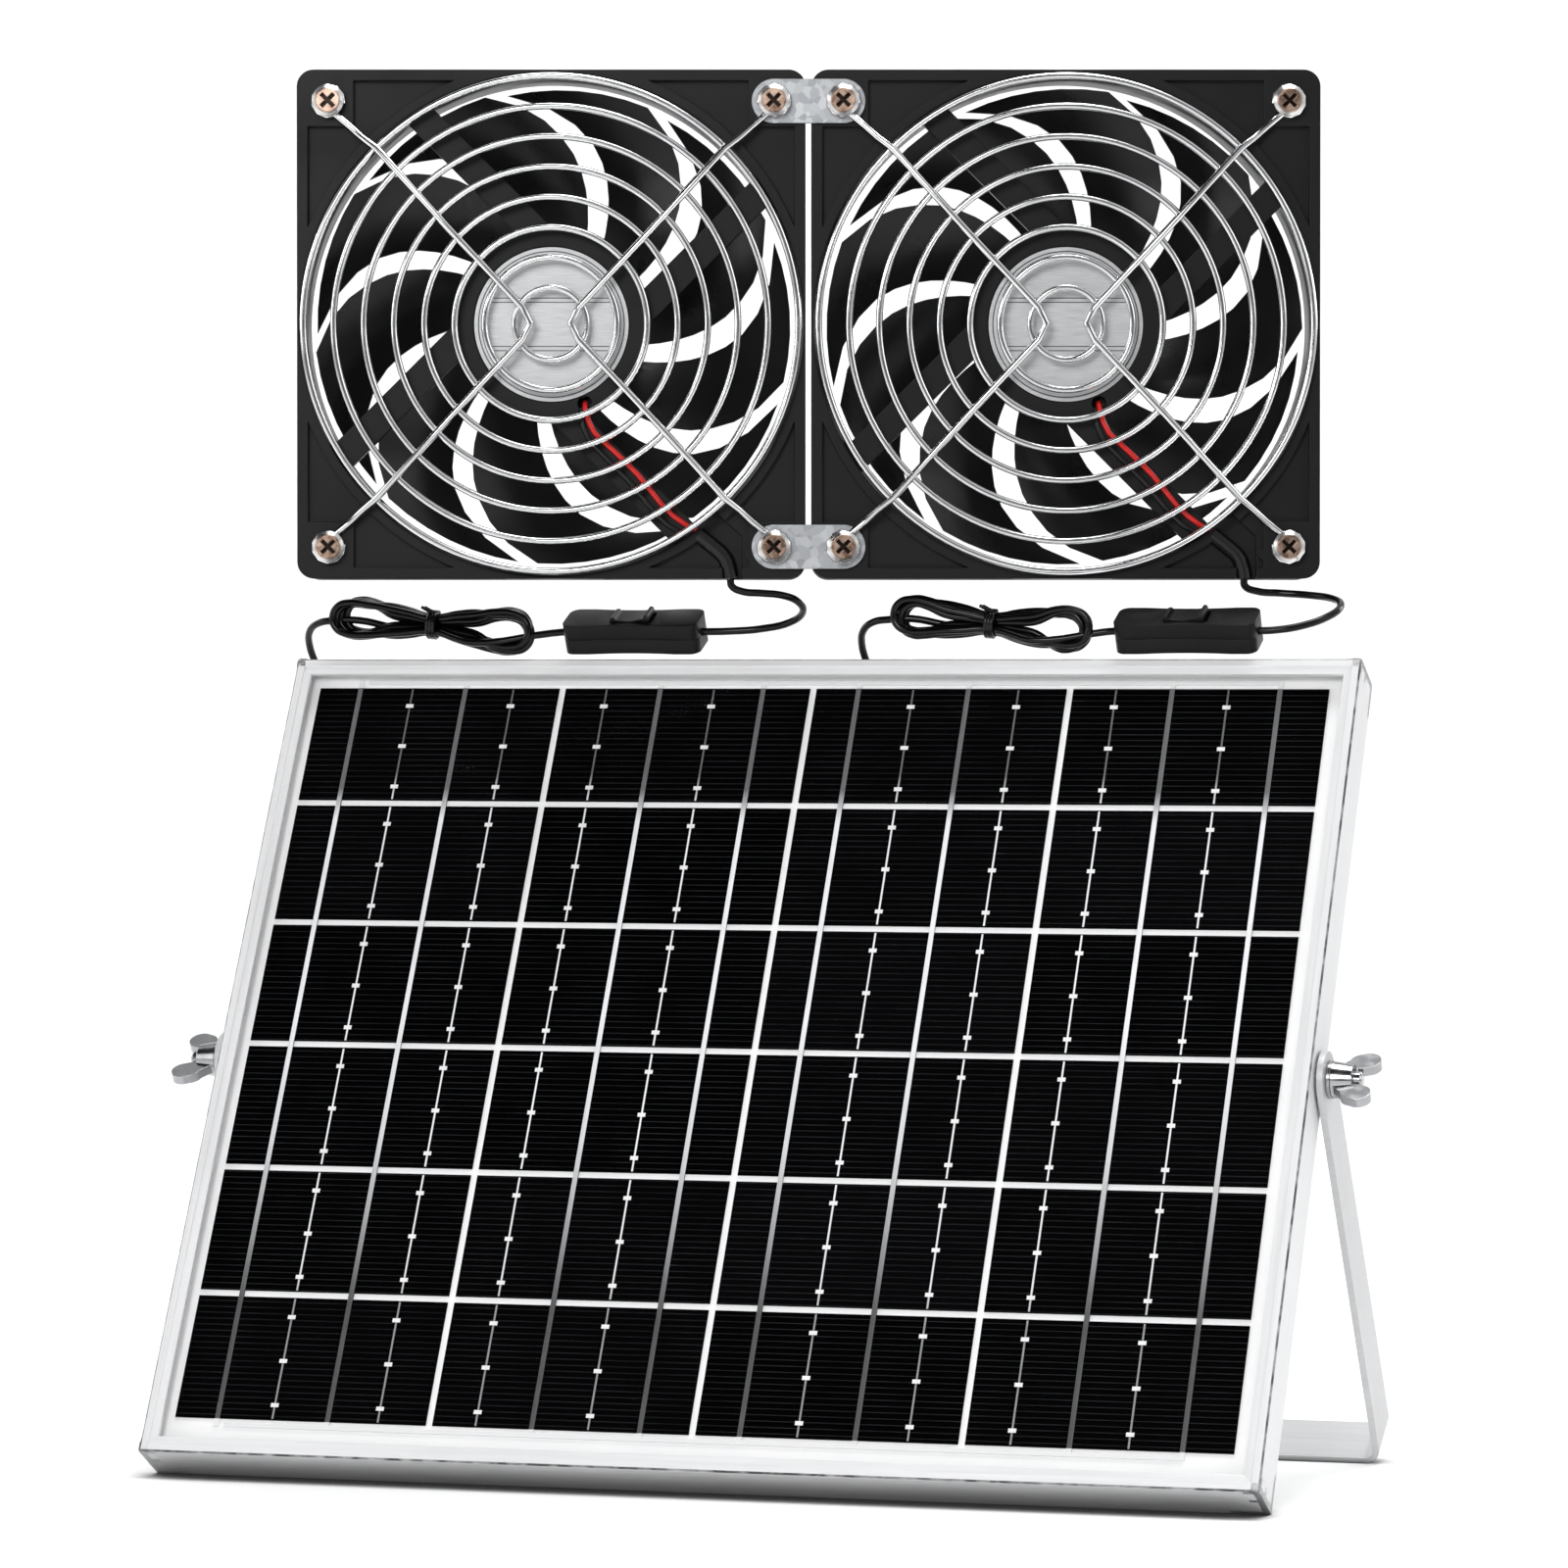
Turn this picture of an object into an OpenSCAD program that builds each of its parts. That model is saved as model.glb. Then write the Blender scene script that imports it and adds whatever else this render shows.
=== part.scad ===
// Solar attic fan: a framed solar panel on a folding stand that feeds two axial fans,
// each through its own corded inline switch. +Z is up and the fans blow towards -Y.

/* [Solar panel] */
// Width of the panel frame
panel_w = 264; // [264:1:272]
// Height of the panel frame along its face
panel_h = 208; // [206:1:212]
// Depth of the panel frame
panel_d = 13; // [13:0.5:15]
// Lean of the panel from upright, degrees
tilt = 29; // [28:0.5:30]
// Turn of the panel away from the fans, degrees
yaw = 17.4; // [17:0.1:18]
// Width of the frame's front lip
lip = 4; // [3:0.5:5]
// Cells across the panel
cell_cols = 4; // [2:1:6]
// Cells up the panel
cell_rows = 6; // [2:1:8]
// Gap between neighbouring cells
cell_gap = 1.6; // [1:0.1:3]

/* [Stand] */
// Lean of the stand legs from upright, degrees
stand_lean = 34; // [33:0.5:35]
// Width of the stand's flat strap
strap_w = 13; // [11:0.5:14]
// Thickness of the stand's flat strap
strap_t = 1.5; // [1.2:0.1:2]
// Radius of the pivot bolts
bolt_r = 2; // [1.8:0.1:2.4]
// Running clearance on the pivot bolts
run_gap = 0.05; // [0.02:0.01:0.1]

/* [Fans] */
// Side of each square fan frame
fan_w = 120; // [119:0.5:121]
// Depth of each fan frame
fan_d = 25; // [25:0.5:27]
// Spacing of the four screw holes
hole_pitch = 105; // [104:0.5:105]
// Height of the fan centres above the floor
fan_z = 267; // [266:0.5:270]
// Gap between the two fan frames
fan_gap = 1.4; // [0.6:0.1:2]
// Blades on each impeller
blades = 9; // [5:1:9]
// Wire thickness of the finger guards
guard_wire = 1.6; // [1.4:0.1:1.8]
// Rings on each finger guard
guard_rings = 8; // [6:1:8]

/* [Cords] */
// Thickness of the round cord
cord_d = 1.8; // [1.6:0.1:2]
// Length of the inline switches
switch_l = 34; // [33:0.5:35]

/* [Hidden] */
$fn = 64;

// Origin: floor level, under the middle of the object's plan
ox = -3.25;
oy = 65.4;
turn_x = 23.37;
st = sin(tilt);
ct = cos(tilt);
pw = panel_w / 2;
piv_v = panel_h / 2;
// the bolt head sits between the inner ledge and the rear flange of the rail
piv_w = (6.1 + panel_d - 1.4) / 2;
piv_y = piv_w * ct + piv_v * st;
piv_z = panel_d * st + piv_v * ct - piv_w * st;
leg_l = (piv_z - strap_w / 2 * sin(stand_lean)) / cos(stand_lean);
leg_gap = 0.6;
leg_in = pw + leg_gap;
leg_out = leg_in + strap_t;
glass_y0 = 1.5;
glass_y1 = 4.1;
sheet_y1 = 4.9;
fan_y = 94.6;
fan_x = [-(fan_w + fan_gap) / 2, (fan_w + fan_gap) / 2];
fan_mid = 5.8;
hp = hole_pitch / 2;
duct_r = 58;
hub_r = 22.5;
tip_r = 56.4;
plate_t = 1.2;
wr = guard_wire / 2;
cr = cord_d / 2;

// ---------- placing ----------
module place() translate([-ox, -oy, 0]) children();
module at_panel() place() rotate([0, 0, -yaw]) translate([-turn_x, 0, 0]) children();
module on_panel() at_panel() translate([0, 0, panel_d * st]) rotate([-tilt, 0, 0]) children();
module at_pivot() at_panel() translate([0, piv_y, piv_z]) children();
module at_fan(k) place() translate([fan_mid + fan_x[k], fan_y, fan_z]) children();

// ---------- shared shapes ----------
// a flat outline in X and Z pushed from y0 to y1
module fy(y0, y1) rotate([90, 0, 0]) translate([0, 0, -y1]) linear_extrude(y1 - y0) children();
module cy(r, y0, y1) translate([0, y0, 0]) rotate([-90, 0, 0]) cylinder(r = r, h = y1 - y0);
module cx(r, x0, x1) translate([x0, 0, 0]) rotate([0, 90, 0]) cylinder(r = r, h = x1 - x0);
module rsq(w, h, r) {
  square([w - 2 * r, h], center = true);
  square([w, h - 2 * r], center = true);
  for (i = [-1, 1], j = [-1, 1])
    translate([i * (w / 2 - r), j * (h / 2 - r)]) circle(r);
}
module stadium(l, h) {
  square([l - h, h], center = true);
  for (i = [-1, 1]) translate([i * (l - h) / 2, 0]) circle(h / 2);
}

// ---------- swept cord ----------
function cat(a, b, c, d, t) = 0.5 * (2 * b + (c - a) * t + (2 * a - 5 * b + 4 * c - d) * t * t
  + (3 * b - a - 3 * c + d) * t * t * t);
function at(p, i) = p[max(0, min(len(p) - 1, i))];
function pt(p, s) = let (i = min(floor(s), len(p) - 2), t = s - i)
  cat(i == 0 ? 2 * p[0] - p[1] : p[i - 1], p[i], p[i + 1],
      i + 2 > len(p) - 1 ? 2 * p[i + 1] - p[i] : p[i + 2], t);
function unit(v) = v / norm(v);
function path(p, n) = [for (i = [0:n]) pt(p, i * (len(p) - 1) / n)];
function dir(q, i) = unit(at(q, i + 1) - at(q, i - 1));
function side(q, i, s0) = i == 0 ? unit(s0 - dir(q, 0) * (s0 * dir(q, 0)))
  : let (s = side(q, i - 1, s0)) unit(s - dir(q, i) * (s * dir(q, i)));
module tube(p, n, r, s0 = [0.1, 0.2, 1]) {
  q = path(p, n);
  ring = 8;
  rr = r / cos(180 / ring) * 0.98;
  pts = [for (i = [0:n]) let (u = side(q, i, s0), v = cross(dir(q, i), u))
    for (j = [0:ring - 1]) q[i] + rr * (cos(j * 360 / ring) * u + sin(j * 360 / ring) * v)];
  faces = concat([[for (j = [0:ring - 1]) j]],
    [for (i = [0:n - 1], j = [0:ring - 1]) [i * ring + j, (i + 1) * ring + j,
      (i + 1) * ring + (j + 1) % ring, i * ring + (j + 1) % ring]],
    [[for (j = [ring - 1:-1:0]) n * ring + j]]);
  polyhedron(pts, faces);
}

// ---------- solar panel ----------
// section of the frame rail: d inwards from the outside, y back from the front
module rail_section() polygon([[0, 0.5], [0.5, 0], [2.1, 0], [2.1, 0.3], [lip, 0.5], [lip, glass_y0],
  [1.6, glass_y0], [1.6, sheet_y1], [3.4, sheet_y1], [3.4, sheet_y1 + 1.2], [1.6, sheet_y1 + 1.2],
  [1.6, panel_d - 1.4], [9, panel_d - 1.4], [9, panel_d], [0, panel_d]]);
// rail of length l along X, its outside facing -Z, ends mitred
module rail(l) difference() {
  rotate([90, 0, 90]) translate([0, 0, -l / 2]) linear_extrude(l) mirror([1, -1]) rail_section();
  for (s = [-1, 1]) translate([s * l / 2, 0, 0]) rotate([0, s * 45, 0])
    translate([s > 0 ? 0 : -30, -1, -30]) cube([30, panel_d + 2, 60]);
}
module hole_x(x, r) translate([x, piv_w, piv_v]) cx(r, -8, 8);
module rail_bottom() color("gainsboro") on_panel() rail(panel_w);
module rail_top() color("gainsboro") on_panel() translate([0, 0, panel_h]) mirror([0, 0, 1])
  rail(panel_w);
module rail_left() color("gainsboro") on_panel() difference() {
  translate([-pw, 0, piv_v]) rotate([0, 90, 0]) rail(panel_h);
  hole_x(-pw, bolt_r);
}
module rail_right() color("gainsboro") on_panel() difference() {
  translate([pw, 0, piv_v]) rotate([0, -90, 0]) rail(panel_h);
  hole_x(pw, bolt_r);
}
// angle pieces that join the rails inside each corner
module corner_keys() color("silver") on_panel()
  for (sx = [-1, 1], sz = [0, 1])
    translate([sx * (pw - 1.6), 6.1, sz == 0 ? 1.6 : panel_h - 1.6])
      mirror([sx > 0 ? 1 : 0, 0, 0]) mirror([0, 0, sz]) union() {
        cube([14, 5.5, 1.5]);
        cube([1.5, 5.5, 14]);
      }
module glass_cover() color([0.75, 0.8, 0.85, 0.4]) on_panel()
  translate([-pw + 1.8, glass_y0, 1.8]) cube([panel_w - 3.6, glass_y1 - glass_y0, panel_h - 3.6]);
cell_mx = 6.7;
cell_mz = 8.2;
// the string of cells sits a little high and to the left in the frame
cell_shift = [-1.1, 2.2];
cell_w = (panel_w - 2 * cell_mx - (cell_cols - 1) * cell_gap) / cell_cols;
cell_h = (panel_h - 2 * cell_mz - (cell_rows - 1) * cell_gap) / cell_rows;
// where the two wide ribbons cross the even and the odd columns
ribbon_at = [[0.17, 0.61], [0.39, 0.81]];
// rows of cells in columns, joined by soldered ribbons
module solar_cells() color([0.06, 0.06, 0.08]) on_panel() translate([cell_shift[0], 0, cell_shift[1]]) {
  for (i = [0:cell_cols - 1], j = [0:cell_rows - 1])
    translate([-pw + cell_mx + i * (cell_w + cell_gap), glass_y1, cell_mz + j * (cell_h + cell_gap)])
      cube([cell_w, 0.3, cell_h]);
  for (i = [0:cell_cols - 1], k = [0, 1])
    translate([-pw + cell_mx + i * (cell_w + cell_gap) + cell_w * ribbon_at[i % 2][k] - 0.6,
      glass_y1, cell_mz - 2]) cube([1.2, 0.4, panel_h - 2 * cell_mz + 4]);
  for (z = [cell_mz - 2, panel_h - cell_mz + 1])
    translate([-pw + cell_mx + cell_w * 0.2, glass_y1, z])
      cube([panel_w - 2 * cell_mx - cell_w * 0.4, 0.4, 1]);
}
module backsheet() color("white") on_panel()
  translate([-pw + 1.8, glass_y1 + 0.4, 1.8]) cube([panel_w - 3.6, sheet_y1 - glass_y1 - 0.4, panel_h - 3.6]);
box_x = -40;
box_v = 170;
box_w = 56;
box_h = 34;
module box_round(w, h, r, y0, y1) translate([box_x, 0, box_v]) fy(y0, y1) rsq(w, h, r);
module junction_box() color([0.1, 0.1, 0.1]) on_panel() difference() {
  box_round(box_w, box_h, 3, sheet_y1, 17.5);
  box_round(box_w - 4, box_h - 4, 2, sheet_y1 + 1.6, 18);
  for (s = [-1, 1]) translate([box_x + s * box_w / 2, panel_d, box_v]) cx(2.6, -4, 4);
}
module junction_lid() color([0.12, 0.12, 0.12]) on_panel() {
  box_round(box_w, box_h, 3, 17.5, 19.5);
  box_round(box_w - 4.3, box_h - 4.3, 2, 16.4, 17.5);
  for (s = [-1, 1]) translate([box_x + s * 8, 0, box_v]) fy(19.5, 20.1) rsq(2, 20, 0.9);
}
// threaded gland with a domed nut on each side of the box
module gland() {
  difference() {
    union() {
      cx(2.6, -2.4, 0.1);
      rotate([0, 90, 0]) cylinder(r = 4.6, h = 3, $fn = 6);
      cx(3.6, 3, 5.5);
      translate([5.5, 0, 0]) rotate([0, 90, 0]) cylinder(r1 = 3.6, r2 = 1.9, h = 4.5);
    }
    cx(cr + 0.1, -3, 9);
  }
}
module cable_glands() color([0.08, 0.08, 0.08]) on_panel()
  for (s = [0, 1]) translate([box_x + (s * 2 - 1) * box_w / 2, panel_d, box_v])
    mirror([1 - s, 0, 0]) gland();

// ---------- stand ----------
module pivot_bolts() color("silver") at_pivot() rotate([-tilt, 0, 0])
  for (s = [0, 1]) mirror([s, 0, 0]) {
    translate([pw - 1.6 - 2.2, 0, 0]) rotate([0, 90, 0]) cylinder(r = 2.6, h = 2.2, $fn = 6);
    cx(bolt_r, pw - 1.7, leg_out + 7.4);
    translate([leg_out + 7.4, 0, 0]) rotate([0, 90, 0]) cylinder(r1 = bolt_r, r2 = bolt_r - 0.5, h = 0.5);
  }
washer_t = 0.9;
slip = 0.1;
module washers() color("silver") at_pivot()
  for (s = [0, 1]) mirror([s, 0, 0]) {
    difference() {
      cx(4.4, pw, leg_in - slip);
      cx(bolt_r + run_gap, pw - 1, leg_in + 1);
    }
    difference() {
      cx(4.4, leg_out + slip, leg_out + slip + washer_t);
      cx(bolt_r + run_gap, leg_out - 1, leg_out + 2);
    }
  }
bend_r = 4;
module stand_outline(r, x, z0) union() {
  translate([-x, z0 + r]) square([2 * x, 200 - z0]);
  translate([-x + r, z0]) square([2 * x - 2 * r, 200 - z0]);
  for (s = [-1, 1]) translate([s * (x - r), z0 + r]) circle(r);
}
module stand_bracket() color("whitesmoke") at_pivot() rotate([stand_lean, 0, 0]) difference() {
  intersection() {
    fy(-strap_w / 2, strap_w / 2) difference() {
      stand_outline(bend_r, leg_out, -leg_l);
      stand_outline(bend_r - strap_t, leg_in, -leg_l + strap_t);
    }
    union() {
      translate([-leg_out - 1, -strap_w / 2 - 1, -leg_l - 1]) cube([2 * leg_out + 2, strap_w + 2, leg_l + 1]);
      cx(strap_w / 2, -leg_out - 1, leg_out + 1);
    }
  }
  cx(bolt_r + run_gap, -leg_out - 2, leg_out + 2);
  for (s = [-1, 1]) translate([s * 90, 0, -leg_l - 1]) cylinder(r = 2.25, h = strap_t + 2);
}
// wing nut: hub with two rounded ears
module wing_ear() rotate([0, 0, 90]) rotate([90, 0, 0]) translate([0, 0, -1.1]) linear_extrude(2.2)
  difference() {
    union() {
      translate([6.5, 6.9]) circle(2.9);
      translate([6, 5.6]) circle(2.9);
      polygon([[2, 0.4], [3.6, 0.3], [8.6, 4.5], [9.35, 6.9], [4, 8.3], [3.2, 5.2], [2, 4]]);
    }
    translate([-3, -1]) square([5, 20]);
  }
module wing_nut() difference() {
  union() {
    cylinder(r1 = 4.3, r2 = 3.5, h = 4.8);
    for (s = [0, 1]) mirror([0, s, 0]) wing_ear();
  }
  translate([0, 0, -1]) cylinder(r = bolt_r + run_gap, h = 14);
}
module wing_at(s) at_pivot() rotate([30, 0, 0])
  translate([s * (leg_out + washer_t + 2 * slip), 0, 0]) rotate([0, s * 90, 0]) wing_nut();
module wing_nut_left() color("silver") wing_at(-1);
module wing_nut_right() color("silver") wing_at(1);

// ---------- fans ----------
module corners() for (i = [-1, 1], j = [-1, 1]) translate([i * hp, j * hp]) children();
module pocket() difference() {
  polygon([[22, 57.4], [46.6, 57.4], [46.6, 38]]);
  circle(61.8);
}
module strut2d() translate([20 * cos(5), 20 * sin(5)]) rotate(45) translate([0, -3.4]) square([44, 6.8]);
module fan_frame() difference() {
  union() {
    difference() {
      union() {
        fy(0, 4) rsq(fan_w, fan_w, 4);
        fy(fan_d - 4, fan_d) rsq(fan_w, fan_w, 4);
        fy(3, fan_d - 3) intersection() {
          circle(61);
          square(fan_w - 0.2, center = true);
        }
        fy(3, fan_d - 3) corners() circle(4.4);
        for (a = [45:90:315]) fy(3, fan_d - 3) rotate(a) translate([60, -1]) square([12, 2]);
      }
      cy(duct_r, -1, fan_d + 1);
      translate([0, -0.01, 0]) rotate([-90, 0, 0]) cylinder(r1 = duct_r + 1.6, r2 = duct_r, h = 3);
      translate([0, fan_d - 3, 0]) rotate([-90, 0, 0]) cylinder(r1 = duct_r, r2 = duct_r + 1.6, h = 3.01);
      for (a = [0:90:270], m = [0, 1]) fy(-1, 1.8) rotate(a) mirror([m, -m]) pocket();
      fy(-1, 3.2) polygon([[34, -47], [39, -44.5], [45, -50], [45, -62], [40.4, -62], [40.4, -55]]);
    }
    fy(0.8, 4.3) intersection() {
      circle(duct_r + 1.4);
      for (k = [0:3]) rotate(90 * k) strut2d();
    }
    cy(hub_r, 0.8, 4.5);
    cy(5.2, 4.4, 18.6);
    translate([46.8, 0, -54.4]) cy(1.3, 0.2, 2.4);
  }
  cy(18.4, 0.5, 1.2);
  cy(4, 3, 19);
  fy(-1, 6) corners() circle(2.15);
  fy(3, fan_d + 1) corners() circle(2.15);
  translate([7.9, 0, -18.6]) cy(1.7, 0, 6);
}
// outline of one impeller blade in plan: r outwards, c across the blade
function sweep(r) = let (u = (r - 21) / 32.5) 22 * u + 12 * pow(u, 4);
function half_gap(r) = r > 46 ? 4.6 - (r - 46) * 0.2 : 4.6;
function ang(r, c) = sweep(r) + half_gap(r) + c * (360 / blades - 2 * half_gap(r));
function depth_y(r, c) = 8.2 + (12 - 1.5 * (r - 21) / 35) * c;
nr = 9;
nc = 6;
function bp(i, j, t) = let (r = 21.9 + (tip_r - 21.9) * i / nr, c = j / nc, a = 143 + ang(r, c))
  [r * cos(a), depth_y(r, c) + t, r * sin(a)];
module blade(t) {
  m = nc + 1;
  half = (nr + 1) * m;
  pts = concat([for (i = [0:nr], j = [0:nc]) bp(i, j, 0)], [for (i = [0:nr], j = [0:nc]) bp(i, j, t)]);
  faces = concat(
    [for (i = [0:nr - 1], j = [0:nc - 1]) [i * m + j, i * m + j + 1, (i + 1) * m + j]],
    [for (i = [0:nr - 1], j = [0:nc - 1]) [i * m + j + 1, (i + 1) * m + j + 1, (i + 1) * m + j]],
    [for (i = [0:nr - 1], j = [0:nc - 1]) [half + i * m + j, half + (i + 1) * m + j, half + i * m + j + 1]],
    [for (i = [0:nr - 1], j = [0:nc - 1]) [half + i * m + j + 1, half + (i + 1) * m + j,
      half + (i + 1) * m + j + 1]],
    [for (i = [0:nr - 1]) [i * m, half + (i + 1) * m, half + i * m]],
    [for (i = [0:nr - 1]) [i * m, (i + 1) * m, half + (i + 1) * m]],
    [for (i = [0:nr - 1]) [i * m + nc, half + i * m + nc, half + (i + 1) * m + nc]],
    [for (i = [0:nr - 1]) [i * m + nc, half + (i + 1) * m + nc, (i + 1) * m + nc]],
    [for (j = [0:nc - 1]) [j, half + j, half + j + 1]],
    [for (j = [0:nc - 1]) [j, half + j + 1, j + 1]],
    [for (j = [0:nc - 1]) [nr * m + j, half + nr * m + j + 1, half + nr * m + j]],
    [for (j = [0:nc - 1]) [nr * m + j, nr * m + j + 1, half + nr * m + j + 1]]);
  polyhedron(pts, faces);
}
module impeller() {
  difference() {
    cy(hub_r - 0.1, 6.4, 24);
    cy(21, 5, 22.4);
  }
  difference() {
    cy(3.4, 20, 22.5);
    cy(1.5, 19, 22.4);
  }
  for (k = [0:blades - 1]) rotate([0, -k * 360 / blades, 0]) blade(1.5);
}
module shaft() {
  cy(1.5, 4.6, 22.4);
  cy(1.9, 3.4, 4.2);
  cy(1.1, 3.4, 5);
}
module bearings() for (y = [4.9, 14.4]) difference() {
  cy(4, y, y + 4);
  cy(1.5 + run_gap, y - 1, y + 5);
  }
module magnet() difference() {
  cy(21, 8.5, 21.5);
  cy(19.2, 8, 22);
}
module stator() difference() {
  union() {
    cy(8.4, 8.4, 18.2);
    for (a = [0:90:270]) rotate([0, a, 0]) {
      translate([0, 9.6, -2.6]) cube([16, 7.4, 5.2]);
      intersection() {
        cy(18.4, 9, 17.6);
        translate([12, 0, -9.5]) cube([10, 20, 19]);
      }
    }
  }
  cy(5.2, 8, 19);
  difference() {
    cy(30, 8, 19);
    cy(18.4, 8, 19);
  }
  for (a = [0:90:270]) rotate([0, a, 0]) difference() {
    translate([8.4, 8, -9.6]) cube([7.4, 12, 19.2]);
    translate([8, 9.6, -2.6]) cube([9, 7.4, 5.2]);
  }
}
module driver_board() difference() {
  cy(17.6, 6.2, 7.4);
  cy(5.2, 6, 8);
}
module hub_label() cy(18.2, 0.8, 1.2);
ring_y = -3;
ring_r0 = 8.5;
ring_r1 = 58.3;
// wire that loops round two screws and comes to a point beside the centre
function eye(s, ye, j, a0, a1, n) = [for (i = [0:n]) let (a = a0 + (a1 - a0) * i / n)
  [s * (hp + 3.4 * cos(a)), ye, j * (hp + 3.4 * sin(a))]];
function guard_path(s, ye) = concat(eye(s, ye, 1, 190, -118, 9),
  [[s * 47.2, ye - 0.3, 46.4], [s * 44.4, ye - 1, 43.8], [s * 41, ring_y - 2 * wr - 0.02, 41.2],
    [s * 24, ring_y - 2 * wr - 0.02, 22.4], [s * 6.6, ring_y - 2 * wr - 0.02, 3.8],
    [s * 4.7, ring_y - 2 * wr - 0.02, 0], [s * 6.6, ring_y - 2 * wr - 0.02, -3.8],
    [s * 24, ring_y - 2 * wr - 0.02, -22.4], [s * 41, ring_y - 2 * wr - 0.02, -41.2],
    [s * 44.4, ye - 1, -43.8], [s * 47.2, ye - 0.3, -46.4]],
  eye(s, ye, -1, -118, 190, 9));
module finger_guard(k) {
  for (i = [0:guard_rings - 1])
    translate([0, ring_y, 0]) rotate([90, 0, 0]) rotate_extrude($fn = 96)
      translate([ring_r0 + i * (ring_r1 - ring_r0) / (guard_rings - 1), 0]) circle(wr, $fn = 20);
  for (s = [-1, 1]) {
    ye = (s > 0) == (k == 0) ? -plate_t - wr : -wr;
    p = guard_path(s, ye);
    tube(p, len(p) - 1, wr, [0, 1, 0.01]);
  }
}
lead_y = 0.1;
module lead_red() tube([[7.9, 3.6, -18.4], [7.9, 1.6, -18.8], [8.1, 0.3, -20.4], [9.6, lead_y, -24.8],
  [12.9, lead_y, -28.2], [17, lead_y, -32], [21.3, lead_y, -36.5], [25.6, lead_y, -42],
  [30, 0.4, -46.2], [34.9, 1.2, -48.9]], 14, 0.6, [0, 1, 0.1]);
module lead_black() tube([[7, 3.6, -19.2], [7, 1.6, -19.8], [6.9, 0.3, -21.6], [8.2, lead_y, -26.2],
  [11.4, lead_y, -30], [15.4, lead_y, -34], [19.6, lead_y, -38.4], [24.2, lead_y, -44.2],
  [29, 0.5, -48.4], [34.2, 1.4, -50.6]], 14, 0.6, [0, 1, 0.1]);
module lead_sleeve() tube([[34.6, 1.4, -49.6], [38.4, 1.5, -52.6], [41.2, 1.6, -55.4],
  [42.2, 1.6, -59.9]], 6, 1.8, [0, 1, 0.1]);
module lr(k) color([0.1, 0.1, 0.1]) at_fan(k) children();
module fan_frame_left() lr(0) fan_frame();
module fan_frame_right() lr(1) fan_frame();
module impeller_left() lr(0) impeller();
module impeller_right() lr(1) rotate([0, -13, 0]) impeller();
module shaft_left() color("silver") at_fan(0) shaft();
module shaft_right() color("silver") at_fan(1) shaft();
module bearings_left() color("silver") at_fan(0) bearings();
module bearings_right() color("silver") at_fan(1) bearings();
module magnet_left() color("dimgray") at_fan(0) magnet();
module magnet_right() color("dimgray") at_fan(1) magnet();
module stator_left() color("peru") at_fan(0) stator();
module stator_right() color("peru") at_fan(1) stator();
module driver_board_left() color("darkgreen") at_fan(0) driver_board();
module driver_board_right() color("darkgreen") at_fan(1) driver_board();
module hub_label_left() color("silver") at_fan(0) hub_label();
module hub_label_right() color("silver") at_fan(1) hub_label();
module finger_guard_left() color("silver") at_fan(0) finger_guard(0);
module finger_guard_right() color("silver") at_fan(1) finger_guard(1);
module lead_red_left() color("red") at_fan(0) lead_red();
module lead_red_right() color("red") at_fan(1) lead_red();
module lead_black_left() color("black") at_fan(0) lead_black();
module lead_black_right() color("black") at_fan(1) lead_black();
module lead_sleeve_left() color("black") at_fan(0) lead_sleeve();
module lead_sleeve_right() color("black") at_fan(1) lead_sleeve();
plate_pitch = fan_w + fan_gap - hole_pitch;
module joint_plate(s) place() translate([fan_mid, fan_y, fan_z + s * hp]) fy(-plate_t, 0) difference() {
  stadium(plate_pitch + 10.4, 10.4);
  for (i = [-1, 1]) translate([i * plate_pitch / 2, 0]) circle(2.2);
}
module joint_plate_top() color("darkgray") joint_plate(1);
module joint_plate_bottom() color("darkgray") joint_plate(-1);
stud_y = fan_d + 10;
module pan_screw(y) difference() {
  union() {
    cy(1.7, y - 1, fan_d + 0.7);
    cy(2, fan_d + 0.6, stud_y - 1);
    translate([0, stud_y - 1, 0]) rotate([-90, 0, 0]) cylinder(r1 = 2, r2 = 1.2, h = 1);
    cy(3.75, y - 1.4, y);
    translate([0, y - 1.4, 0]) rotate([90, 0, 0]) cylinder(r1 = 3.75, r2 = 2.7, h = 1);
  }
  for (a = [45, 135]) rotate([0, a, 0]) translate([-2.1, y - 3, -0.5]) cube([4.2, 2.2, 1]);
}
module fan_screws() color("rosybrown") for (k = [0, 1]) at_fan(k)
  for (i = [-1, 1], j = [-1, 1]) translate([i * hp, 0, j * hp])
    pan_screw((i > 0) == (k == 0) ? -plate_t - 2 * wr : -2 * wr);

// ---------- inline switches ----------
sw_y = 103.5;
sw_z = 194.6;
sw_w = 10;
sw_h = 7.4;
sw_roll = 25;
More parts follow.
